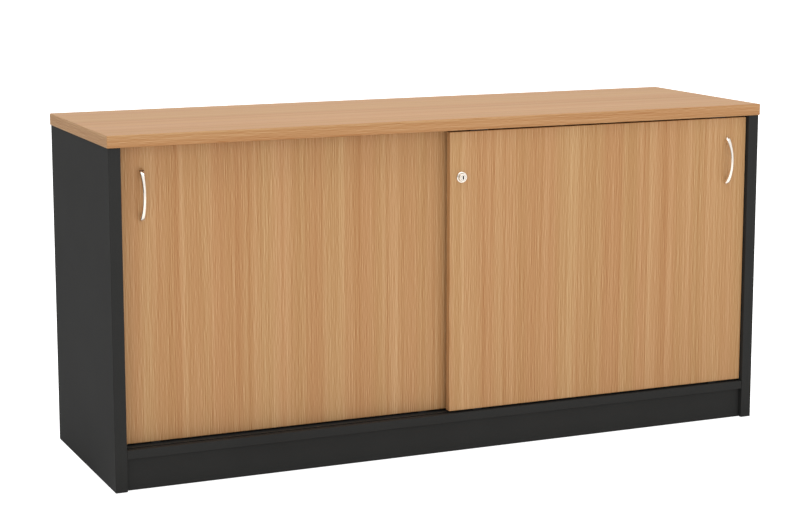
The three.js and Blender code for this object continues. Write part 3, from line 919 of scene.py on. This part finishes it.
@dataclass
class Carcass(Assembly):
    """The case: worktop, sides, base, back, divider, kick boards, tracks, and the holes in them."""

    worktop_easing: float = 0.0018
    pin_pitch: float = 0.032
    pin_spares: int = 2
    cam_radius: float = 0.0075
    cam_depth: float = 0.0125
    bolt_head_radius: float = 0.0034
    bolt_thread_radius: float = 0.0029
    lanes: tuple[str, str] = ("front", "rear")

    def build(self) -> None:
        """Builds and dresses every board of the case."""
        self.worktop()
        for side in Side:
            self.side_panel(side)
        self.dress_board("base_panel", self.grooves("bottom"))
        self.divider()
        for node in ("back_panel", "front_kick", "rear_kick"):
            self.dress_board(node)
        for edge in ("top", "bottom"):
            for lane in self.lanes:
                self.keep_node(f"{edge}_track_{lane}", self.palette.black)

    def dress_board(self, node: str, *cuts: Sequence[Shell]) -> None:
        """Places a charcoal board with raw core in its holes.

        Args:
            node: the board's node.
            cuts: lists of cutters, taken one after the other.
        """
        mesh = self.board(node, self.board_easing)
        for cutters in cuts:
            mesh = carved(mesh, cutters, CORE)
        finishes = [self.palette.carcass, self.palette.carcass, self.palette.core]
        self.place(node, mesh, finishes, "carcass", "charcoal_laminate", None)

    def grooves(self, edge: str) -> list[Shell]:
        """Cutters for the two track grooves of the worktop or the base.

        Args:
            edge: "top" or "bottom", as in the tracks' names.

        Returns:
            The two cutters.
        """
        below, above = (self.cut_past, self.seam) if edge == "top" else (self.seam, self.cut_past)
        cutters = []
        for lane in self.lanes:
            low, high = node_box(f"{edge}_track_{lane}")
            low -= [self.cut_past, self.seam, below]
            high += [self.cut_past, self.seam, above]
            cutters.append(square_block(low, high))
        return cutters

    def worktop(self) -> None:
        """The worktop: grain along its length, and a band across each end."""
        under = node_box("top_panel")[0][2] - self.cut_past
        cutters = self.grooves("top")
        for bolt in (f"{side}_cam_bolt_{row}" for side in Side for row in ROWS):
            head = node_box(bolt)[1][2] + self.play
            cutters.append(bore(node_middle(bolt), Axis.Z, (under, head), self.bolt_thread_radius + self.play))
        mesh = carved(self.board("top_panel", self.worktop_easing), cutters, CORE)
        self.band(mesh, Axis.X)
        finishes = [self.palette.worktop, self.palette.worktop_end, self.palette.core]
        self.place("top_panel", mesh, finishes, "carcass", "beech_laminate", None)

    def pin_holes(self, pins: str, face_x: float, inward: float) -> list[Shell]:
        """Cutters for the rows of shelf pin holes in a board's face.

        Args:
            pins: the names of the pins in use, without their row.
            face_x: where the face is.
            inward: 1 if the holes run towards +X, -1 if they run towards -X.

        Returns:
            One cutter for each hole.
        """
        span = (face_x - inward * self.cut_past, face_x + inward * (self.pin_sink + self.play))
        cutters = []
        for row in ROWS:
            middle = node_middle(f"{pins}_{row}")
            for step in range(-self.pin_spares, self.pin_spares + 1):
                hole = middle + [0.0, 0.0, step * self.pin_pitch]
                cutters.append(bore(hole, Axis.X, span, self.pin_radius + self.play))
        return cutters

    def side_panel(self, side: Side) -> None:
        """A side panel with its pin holes, cam holes, bolt holes and glide nail holes.

        Args:
            side: which one.
        """
        low, high = node_box(f"{side}_side_panel")
        outward = side.value
        inner_x = high[0] if side is Side.LEFT else low[0]
        holes = self.pin_holes(f"{side}_shelf_pin_outer", inner_x, outward)
        bolt_holes = []
        for row in ROWS:
            cam = node_middle(f"{side}_cam_{row}")
            span = (inner_x - outward * self.cut_past, inner_x + outward * (self.cam_depth + self.play))
            holes.append(bore(cam, Axis.X, span, self.cam_radius + self.play, FINE_SIDES))
            bolt = node_middle(f"{side}_cam_bolt_{row}")
            span = (cam[2], high[2] + self.cut_past)
            bolt_holes.append(bore(bolt, Axis.Z, span, self.bolt_head_radius + self.play))
            glide = f"{side}_glide_{row}"
            span = (low[2] - self.cut_past, node_box(glide)[1][2] + self.play)
            holes.append(bore(node_middle(glide), Axis.Z, span, self.nail_radius + self.play))
        self.dress_board(f"{side}_side_panel", holes, bolt_holes)

    def divider(self) -> None:
        """The centre divider with pin holes in both faces."""
        low, high = node_box("centre_divider")
        cutters = self.pin_holes("left_shelf_pin_inner", low[0], 1.0)
        cutters += self.pin_holes("right_shelf_pin_inner", high[0], -1.0)
        self.dress_board("centre_divider", cutters)


@dataclass
class BowHandle(Assembly):
    """A slender bow handle with broad ends on round feet, and its two screws."""

    bar_width: float = 0.0062
    bar_thickness: float = 0.0065
    foot_diameter: float = 0.011
    foot_rise: float = 0.00425
    foot_side: float = 0.0015
    foot_height: float = 0.0048
    flare: float = 0.0027
    deepening: float = 0.0022
    swell_power: float = 2.5
    bar_power: float = 0.8
    end_power: float = 0.55
    steps: int = 72
    dome_steps: int = 8
    sides: int = 40
    sharp: float = 55.0
    head_radius: float = 0.004
    head_height: float = 0.0024
    head_easing: float = 0.0011
    recess: tuple[float, float, float] = (0.0044, 0.0012, 0.0014)

    def build(self, door: str) -> None:
        """Builds and dresses a door's handle and its screws.

        Args:
            door: the door's node.
        """
        self.bow(door)
        for place in ("lower", "upper"):
            self.screw(door, f"{door}_handle_screw_{place}")

    def bow(self, door: str) -> None:
        """The bow: a bar along an arc, joined to two feet.

        The arc's radius is (h^2 + d^2) / 2d for a half span h and a sagitta d, and a point at angle t from
        its middle is (c - r cos t, r sin t). The bar's oval grows sideways and towards the door and turns
        squarer by |t / end|^p, and past the feet it closes in a dome, times sqrt(1 - v^2) for a share v of
        the way to its tip, flat towards the door. Each foot is turned, with a straight side and a dome
        r = R sqrt(1 - v^2) over it.

        Args:
            door: the door's node.
        """
        node = f"{door}_handle"
        low, high = node_box(node)
        middle = node_middle(node)
        foot_radius = self.foot_diameter / 2
        half_span = node_half(node)[2] - foot_radius
        sagitta = high[1] - low[1] + self.seam - self.bar_thickness / 2 - self.foot_rise
        radius = (half_span ** 2 + sagitta ** 2) / (2 * sagitta)
        end = math.asin(half_span / radius)
        tip = foot_radius / radius
        v = np.sin(np.linspace(0.0, math.pi / 2, self.dome_steps + 1))
        past = end + tip * v[1:]
        t = np.concatenate([-past[::-1], np.linspace(-end, end, self.steps + 1), past])
        door_y = high[1] + self.seam
        x = np.full_like(t, middle[0])
        y = door_y - self.foot_rise - sagitta + radius * (1 - np.cos(t))
        path = np.stack([x, y, middle[2] + radius * np.sin(t)], axis=-1)
        outward = np.stack([np.zeros_like(t), -np.cos(t), np.sin(t)], axis=-1)
        sideways = np.broadcast_to(np.array([1.0, 0.0, 0.0]), outward.shape)
        swell = np.minimum(np.abs(t) / end, 1.0) ** self.swell_power
        closing = np.sqrt(1 - np.clip((np.abs(t) - end) / tip, 0.0, 1.0) ** 2)
        width = ((self.bar_width / 2 + self.flare * swell) * closing)[:, None]
        thickness = ((self.bar_thickness / 2 + self.deepening * swell) * closing)[:, None]
        path -= outward * (self.deepening * swell)[:, None]
        power = self.bar_power + (self.end_power - self.bar_power) * swell
        bar = swept(path, sideways * width, outward * thickness, self.sides, power)
        bar.points[:, 1] = np.minimum(bar.points[:, 1], door_y - 1.5 * self.seam)
        dome_height = self.foot_height - self.foot_side
        dome = np.stack([foot_radius * np.sqrt(1 - v ** 2), self.foot_side + dome_height * v], axis=-1)
        profile = np.concatenate([[[0.0, self.seam], [foot_radius, self.seam]], dome]) * [1.0, -1.0]
        feet = [
            turned(profile, np.array([middle[0], door_y, middle[2] + sign * half_span]), Axis.Y)
            for sign in (-1.0, 1.0)
        ]
        mesh = combined(mesh_of(node, [bar]), feet, Combine.ADDED)
        self.place(node, mesh, [self.palette.chrome], door, "satin_chrome", self.sharp)

    def screw(self, door: str, node: str) -> None:
        """A pan-head screw with a cross recess, from inside the door into the handle's foot.

        Args:
            door: the door's node.
            node: the screw's node.
        """
        low, high = node_box(node)
        x, _, z = node_middle(node)
        under_head = high[1] - self.head_height
        profile = stepped(low[1], (self.screw_radius, under_head), (self.head_radius, high[1]))
        shell = turned(softened(profile, self.head_easing), np.array([x, 0.0, z]), Axis.Y)
        face = np.array([x, high[1], z])
        mesh = self.cross_recess(mesh_of(node, [shell]), face, Axis.Y, self.recess)
        self.place(node, mesh, [self.palette.zinc], door, "zinc_steel")


@dataclass
class SlidingDoor(Assembly):
    """A sliding door: its panel, rollers in housings, guides and handle."""

    easing: float = 0.0014
    roller_easing: float = 0.0009
    groove_depth: float = 0.0011
    groove_share: float = 0.4
    axle_radius: float = 0.002
    axle_stub: float = 0.0022

    def build(self, door: str, has_lock: bool) -> None:
        """Builds and dresses a door.

        Args:
            door: the door's node, which is also its body.
            has_lock: whether the door has the lock's hole.
        """
        self.panel(door, has_lock)
        for side in Side:
            self.roller(f"{door}_roller_{side}")
            self.keep_node(f"{door}_roller_housing_{side}", self.palette.black)
            self.keep_node(f"{door}_guide_{side}", self.palette.black)
        BowHandle(self.palette).build(door)

    def panel(self, door: str, has_lock: bool) -> None:
        """The door panel with mortises for its fittings: upright grain, and bands along its short edges.

        Args:
            door: the door's node.
            has_lock: whether the door has the lock's hole.
        """
        low, high = node_box(door)
        cutters = []
        for side in Side:
            housing_low, housing_high = node_box(f"{door}_roller_housing_{side}")
            mouth = np.array([self.seam, self.seam, self.cut_past])
            cutters.append(square_block(housing_low - mouth, housing_high + self.seam))
            guide_low, guide_high = node_box(f"{door}_guide_{side}")
            cutters.append(square_block(guide_low - self.seam, guide_high + [self.seam, self.seam, 0.0]))
        bores = [(f"{door}_handle_screw_{place}", self.screw_radius) for place in ("lower", "upper")]
        if has_lock:
            bores.append(("lock_housing", self.tube_radius))
        span = (low[1] - self.cut_past, high[1] + self.cut_past)
        for node, radius in bores:
            cutters.append(bore(node_middle(node), Axis.Y, span, radius + self.play, FINE_SIDES))
        mesh = carved(self.board(door, self.easing), cutters, CORE)
        self.band(mesh, Axis.Z)
        finishes = [self.palette.door, self.palette.door_edge, self.palette.core]
        self.place(door, mesh, finishes, door, "beech_laminate", None)

    def roller(self, node: str) -> None:
        """A nylon roller with a shallow groove in its tread and its axle stubs.

        Half of the profile is given, and the other half is its mirror image.

        Args:
            node: the roller's node, which is also its body.
        """
        _, axle, radius = node_half(node)
        half = axle - self.axle_stub
        first = np.array([
            [0.0, -axle],
            [self.axle_radius, -axle],
            [self.axle_radius, -half],
            [radius, -half],
            [radius, -half * self.groove_share],
        ])
        groove = [[radius - self.groove_depth, 0.0]]
        profile = np.concatenate([first, groove, first[::-1] * [1.0, -1.0]])
        shell = turned(softened(profile, self.roller_easing), node_middle(node), Axis.Y, FINE_SIDES)
        self.place(node, mesh_of(node, [shell]), [self.palette.nylon], node, "grey_nylon")


@dataclass
class PushLock(Assembly):
    """The push lock on the front door: housing, barrel, key plug, nut and return spring."""

    door: str = "right_door"
    flange_thickness: float = 0.0025
    flange_easing: float = 0.0007
    bore_radius: float = 0.0088
    bolt_radius: float = 0.003
    end_wall: float = 0.002
    barrel_back: float = 0.00715
    barrel_easing: float = 0.0006
    plug_easing: float = 0.0004
    easing_steps: int = 4
    sharp: float = 50.0
    keyway: tuple[float, float, float] = (0.003, 0.006, 0.0075)
    nut_sides: int = 72
    nut_crown: float = 1.04
    nut_chamfer: float = 0.0006
    nut_sharp: float = 25.0
    wire_radius: float = 0.0005
    wire_sides: int = 12
    turns: int = 4
    turn_steps: int = 32
    throw: float = 0.0055
    face_y: float = field(init=False)
    centre: Array = field(init=False)

    def __post_init__(self) -> None:
        """Finds the door's face and the lock's axis on it."""
        self.face_y = float(node_box(self.door)[0][1])
        x, _, z = node_middle("lock_barrel")
        self.centre = np.array([x, self.face_y, z])

    def build(self) -> None:
        """Builds and dresses the whole lock."""
        self.housing()
        self.barrel()
        self.plug()
        self.nut()
        self.spring()

    def depths(self, node: str) -> tuple[float, float]:
        """Front and back of a node, measured backwards from the door's face."""
        low, high = node_box(node)
        return float(low[1] - self.face_y), float(high[1] - self.face_y)

    def housing(self) -> None:
        """The housing: a tube with a rounded flange in front and a wall for the spring behind."""
        rim = node_half("lock_housing")[0]
        front, back = self.depths("lock_housing")
        hole = self.bolt_radius + self.play
        profile = np.array([
            [self.bore_radius, front],
            [rim - self.flange_thickness / 2, front],
            [rim, front + self.flange_thickness / 2],
            [rim, -self.seam],
            [self.tube_radius, -self.seam],
            [self.tube_radius, back],
            [hole, back],
            [hole, back - self.end_wall],
            [self.bore_radius, back - self.end_wall],
        ])
        profile = softened(profile, self.flange_easing, self.easing_steps, True)
        mesh = mesh_of("lock_housing", [turned(profile, self.centre, Axis.Y, FINE_SIDES, True)])
        self.place("lock_housing", mesh, [self.palette.chrome], self.door, "satin_chrome", self.sharp)

    def barrel(self) -> None:
        """The barrel: a cup for the key plug in front and the bolt behind."""
        front, tip = self.depths("lock_barrel")
        radius = node_half("lock_barrel")[0]
        cup = node_half("lock_plug")[0] + self.play
        floor = self.depths("lock_plug")[1] + self.seam
        profile = stepped(floor, (cup, front), (radius, self.barrel_back), (self.bolt_radius, tip))
        profile = softened(profile, self.barrel_easing, self.easing_steps)
        mesh = mesh_of("lock_barrel", [turned(profile, self.centre, Axis.Y, FINE_SIDES)])
        self.place("lock_barrel", mesh, [self.palette.chrome], "lock_barrel", "satin_chrome", self.sharp)

    def plug(self) -> None:
        """The key plug with its keyway, whose walls take the black finish as painted shade."""
        front, back = self.depths("lock_plug")
        profile = softened(stepped(front, (node_half("lock_plug")[0], back)), self.plug_easing)
        shell = turned(profile, self.centre, Axis.Y, FINE_SIDES)
        width, depth, height = self.keyway
        mouth = self.centre + [0.0, front, 0.0]
        low = mouth - [width / 2, self.cut_past, height / 2]
        high = mouth + [width / 2, depth, height / 2]
        # The keyway's cut walls take the black finish: painted shade, not a black part.
        mesh = carved(mesh_of("lock_plug", [shell]), [square_block(low, high)], SECOND_FINISH)
        self.place("lock_plug", mesh, [self.palette.chrome, self.palette.black], "lock_plug", "satin_chrome")

    def nut(self) -> None:
        """The nut behind the door.

        Its outside is a hexagon, r = a / cos(u) with u the angle from the nearest flat, drawn in a
        little at both faces; its inside is round.
        """
        half_x, _, half_z = node_half("lock_nut")
        front, back = self.depths("lock_nut")
        flat = min(half_x, half_z)
        turn = np.arange(self.nut_sides) * 2 * math.pi / self.nut_sides
        sixth = math.pi / 3
        start = 0.0 if half_x > half_z else sixth / 2
        hexagon = flat / np.cos(np.mod(turn + start, sixth) - sixth / 2)
        bored = np.full(self.nut_sides, self.tube_radius + self.play)
        crown = np.minimum(hexagon, flat * self.nut_crown)
        rings = np.stack([bored, crown, hexagon, hexagon, crown, bored])
        edges = (front + self.nut_chamfer, back - self.nut_chamfer)
        heights = np.array([front, front, *edges, back, back])[:, None]
        x = rings * np.cos(turn)
        points = np.stack([x, np.broadcast_to(heights, x.shape), rings * np.sin(turn)], axis=-1)
        shell = Shell((points + self.centre).reshape(-1, 3), grid_quads(*x.shape, True))
        mesh = mesh_of("lock_nut", [shell])
        self.place("lock_nut", mesh, [self.palette.zinc], self.door, "zinc_steel", self.nut_sharp)

    def spring(self) -> None:
        """The return spring: a round wire carried along a helix, flattened as the barrel goes in."""
        front, back = self.depths("lock_spring")
        radius = node_half("lock_spring")[0] - self.wire_radius
        t = np.linspace(0.0, 1.0, self.turns * self.turn_steps + 1)
        turn = 2 * math.pi * self.turns * t
        radial = np.stack([np.cos(turn), np.zeros_like(turn), np.sin(turn)], axis=-1)
        length = back - front - 2 * self.wire_radius
        rise = np.stack([np.zeros_like(t), front + self.wire_radius + length * t, np.zeros_like(t)], axis=-1)
        path = self.centre + radius * radial + rise
        run = np.gradient(path, axis=0)
        run /= np.linalg.norm(run, axis=1, keepdims=True)
        binormal = np.cross(run, radial)
        shell = swept(path, radial * self.wire_radius, binormal * self.wire_radius, self.wire_sides)
        mesh = mesh_of("lock_spring", [shell])
        piece = self.place("lock_spring", mesh, [self.palette.zinc], self.door, "zinc_steel")
        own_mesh(piece)


@dataclass
class ShelfBay(Assembly):
    """A loose shelf and the four pins it lies on."""

    collar_radius: float = 0.0035
    collar_thickness: float = 0.001
    pin_easing: float = 0.0005

    def build(self, side: Side) -> None:
        """Builds and dresses the shelf and pins of one bay.

        Args:
            side: the side of the bay.
        """
        shelf = f"{side}_shelf"
        mesh = self.board(shelf, self.board_easing)
        self.place(shelf, mesh, [self.palette.carcass], shelf, "charcoal_laminate", None)
        for end, direction in (("outer", -side.value), ("inner", side.value)):
            for row in ROWS:
                self.pin(f"{side}_shelf_pin_{end}_{row}", direction)

    def pin(self, node: str, direction: float) -> None:
        """A shelf pin: a shank in the board, a collar on its face and a rounded stub under the shelf.

        Args:
            node: the pin's node.
            direction: the sign of X from the board into the bay.
        """
        low, high = node_box(node)
        buried = low if direction > 0 else high
        shank = (self.pin_radius, self.pin_sink + self.seam)
        collar = (self.collar_radius, self.pin_sink + self.collar_thickness)
        stub = (self.pin_radius, high[0] - low[0])
        profile = softened(stepped(0.0, shank, collar, stub), self.pin_easing) * [1.0, direction]
        _, y, z = node_middle(node)
        shell = turned(profile, np.array([buried[0], y, z]), Axis.X)
        self.place(node, mesh_of(node, [shell]), [self.palette.zinc], "carcass", "zinc_steel")


@dataclass
class CornerFittings(Assembly):
    """The cams and bolts that hold the worktop on a side panel, and the glides under the panel."""

    cam_easing: float = 0.0005
    recess: tuple[float, float, float] = (0.0085, 0.0018, 0.0025)
    opening_share: float = 0.53
    glide_height: float = 0.002
    glide_easing: float = 0.0008
    glide_steps: int = 4

    def build(self, side: Side) -> None:
        """Builds and dresses the fittings of one side panel.

        Args:
            side: the panel's side.
        """
        for row in ROWS:
            self.cam(side, f"{side}_cam_{row}", f"{side}_cam_bolt_{row}")
            self.keep_node(f"{side}_cam_bolt_{row}", self.palette.zinc)
            self.glide(f"{side}_glide_{row}")

    def cam(self, side: Side, node: str, bolt: str) -> None:
        """A cam: a disc with a cross recess in its face and an opening for the bolt's head.

        Args:
            side: the side of its panel.
            node: the cam's node.
            bolt: the bolt's node.
        """
        low, high = node_box(node)
        _, y, z = node_middle(node)
        radius = node_half(node)[1]
        face = np.array([high[0] if side is Side.LEFT else low[0], y, z])
        profile = softened(stepped(0.0, (radius, high[0] - low[0])), self.cam_easing) * [1.0, side.value]
        mesh = mesh_of(node, [turned(profile, face, Axis.X, FINE_SIDES)])
        mesh = self.cross_recess(mesh, face, Axis.X, self.recess)
        half = radius * self.opening_share
        head = np.array([node_middle(bolt)[0], y, z])
        opening = square_block(head - half, head + [half, half, radius * 2])
        self.place(node, carved(mesh, [opening]), [self.palette.zinc], "carcass", "zinc_steel")

    def glide(self, node: str) -> None:
        """A nail-on glide: a low rounded disc and its nail.

        Args:
            node: the glide's node.
        """
        x, y, _ = node_middle(node)
        disc = (node_half(node)[0], self.glide_height)
        nail = (self.nail_radius, node_box(node)[1][2])
        profile = softened(stepped(0.0, disc, nail), self.glide_easing, self.glide_steps)
        shell = turned(profile, np.array([x, y, 0.0]), Axis.Z)
        self.place(node, mesh_of(node, [shell]), [self.palette.black], "carcass", "black_plastic")


def aimed(place: Sequence[float], right: Array, back: Array) -> Matrix:
    """A placement whose X runs along `right` and whose Z runs along `back`."""
    axes = np.column_stack([right, np.cross(back, right), back, np.array(place)])
    return Matrix(np.vstack([axes, [0.0, 0.0, 0.0, 1.0]]).tolist())


@dataclass
class Studio:
    """The camera, the soft white light and the pale floor."""

    eye: tuple[float, float, float] = (-1.7788, -3.9509, 1.1756)
    heading: float = 23.83
    pitch: float = 9.14
    focal_pixels: float = 1993.8
    lens_shift: float = -0.05
    sensor_width: float = 36.0
    farthest: float = 100.0
    floor_half: float = 30.0
    floor_tones: tuple[float, float] = (0.78, 0.8)
    pool_glow: float = 0.55
    sky: float = 0.45
    ground: float = 0.15
    front_glow: float = 0.84
    backdrop_glow: float = 0.25
    left_glow: float = 0.42
    mirror_light: float = 0.85
    mirror_front: float = 0.25
    mirror_flag: float = 0.6
    lamp_place: tuple[float, float, float] = (0.0, -0.5, 3.0)
    lamp_aim: tuple[float, float, float] = (0.0, 0.0, 0.36)
    lamp_size: tuple[float, float] = (3.0, 2.0)
    lamp_power: float = 43.0

    def build(self) -> None:
        """Sets up the camera, the light and the floor."""
        self.camera()
        self.surroundings()
        self.lamp()
        self.floor()

    def camera(self) -> None:
        """The camera, from its place, its heading to the right of +Y and its downward pitch."""
        heading = math.radians(self.heading)
        pitch = math.radians(self.pitch)
        level = np.array([math.sin(heading), math.cos(heading), 0.0])
        forward = level * math.cos(pitch) - np.array([0.0, 0.0, math.sin(pitch)])
        right = np.array([math.cos(heading), -math.sin(heading), 0.0])
        lens = bpy.data.cameras.new("photo_camera")
        lens.sensor_width = self.sensor_width
        lens.lens = self.focal_pixels / PHOTO_WIDTH * self.sensor_width
        lens.shift_y = self.lens_shift
        lens.clip_end = self.farthest
        camera = bpy.data.objects.new("photo_camera", lens)
        camera.matrix_world = aimed(self.eye, right, -forward)
        bpy.context.scene.collection.objects.link(camera)
        bpy.context.scene.camera = camera
        bpy.context.scene.view_settings.view_transform = "Standard"

    @staticmethod
    def ray_kinds(graph: Graph) -> list[Socket]:
        """Whether a ray comes from the camera, and whether it comes from a glossy surface."""
        kinds = ("Is Camera Ray", "Is Glossy Ray")
        return [graph.node("ShaderNodeLightPath", None, None, kind) for kind in kinds]

    def surroundings(self) -> None:
        """A white surround: pure white to the camera, and shaped by direction as light and in mirrors."""
        world = bpy.data.worlds.new("white_surround")
        bpy.context.scene.world = world
        graph = Graph(world)
        right, behind, height = graph.parts(graph.place("Generated"))
        light = graph.stretch(height, -0.12, 0.12) * (self.sky - self.ground) + self.ground
        light = light + graph.stretch(behind * -1.0, 0.45, 0.95) * self.front_glow
        light = light + graph.stretch(behind, 0.3, 0.9) * self.backdrop_glow
        light = light + graph.stretch(behind * 0.6 - right * 0.8, 0.2, 0.9) * self.left_glow
        mirror = graph.stretch(right * 0.4 - behind * 0.9, 0.2, 0.8) * self.mirror_front + self.mirror_light
        mirror = mirror - graph.stretch(right * -0.9 - behind * 0.4, 0.7, 0.95) * self.mirror_flag
        seen, mirrored = self.ray_kinds(graph)
        strength = seen + mirrored * mirror + (1.0 - seen - mirrored) * light
        sockets = {"Color": (1.0, 1.0, 1.0, 1.0), "Strength": strength}
        background = graph.node("ShaderNodeBackground", None, sockets)
        graph.node("ShaderNodeOutputWorld", None, {"Surface": background})

    def lamp(self) -> None:
        """A soft box overhead that looks at the middle of the credenza."""
        light = bpy.data.lights.new("overhead_light", "AREA")
        light.shape = "RECTANGLE"
        light.size, light.size_y = self.lamp_size
        light.energy = self.lamp_power
        lamp = bpy.data.objects.new("overhead_light", light)
        away = np.subtract(self.lamp_place, self.lamp_aim)
        away /= np.linalg.norm(away)
        lamp.matrix_world = aimed(self.lamp_place, np.array([1.0, 0.0, 0.0]), away)
        lamp.visible_camera = False
        bpy.context.scene.collection.objects.link(lamp)

    def floor(self) -> None:
        """A wide pale floor that runs into the white surround, with a pool of light in front."""
        half = self.floor_half
        corners = [(-half, -half, 0.0), (half, -half, 0.0), (half, half, 0.0), (-half, half, 0.0)]
        mesh = bpy.data.meshes.new("studio_floor")
        mesh.from_pydata(corners, [], [[0, 1, 2, 3]])
        graph = Graph.of_material("floor_white")
        dim, bright = ((tone, tone, tone) for tone in self.floor_tones)
        seen, mirrored = self.ray_kinds(graph)
        nearness = mirrored * 0.25 - graph.parts(graph.place())[1]
        pool = graph.stretch(nearness, 0.2, 0.6) * self.pool_glow
        mesh.materials.append(graph.finish(
            Base_Color=graph.ramp(graph.speckle(1.0), (0.3, dim), (0.7, bright)),
            Roughness=0.9,
            Specular_IOR_Level=0.0,
            Emission_Color=seen + (1.0 - seen) * pool,
            Emission_Strength=1.0,
        ))
        floor = bpy.data.objects.new("studio_floor", mesh)
        bpy.context.scene.collection.objects.link(floor)


def main() -> None:
    """Builds the credenza's sub-assemblies in order, then the studio."""
    logging.basicConfig(level=logging.INFO, format="%(name)s: %(message)s")
    palette = Palette()
    Carcass(palette).build()
    for side in Side:
        ShelfBay(palette).build(side)
        CornerFittings(palette).build(side)
    SlidingDoor(palette).build("left_door", False)
    SlidingDoor(palette).build("right_door", True)
    PushLock(palette).build()
    Studio().build()


if __name__ == "__main__":
    main()
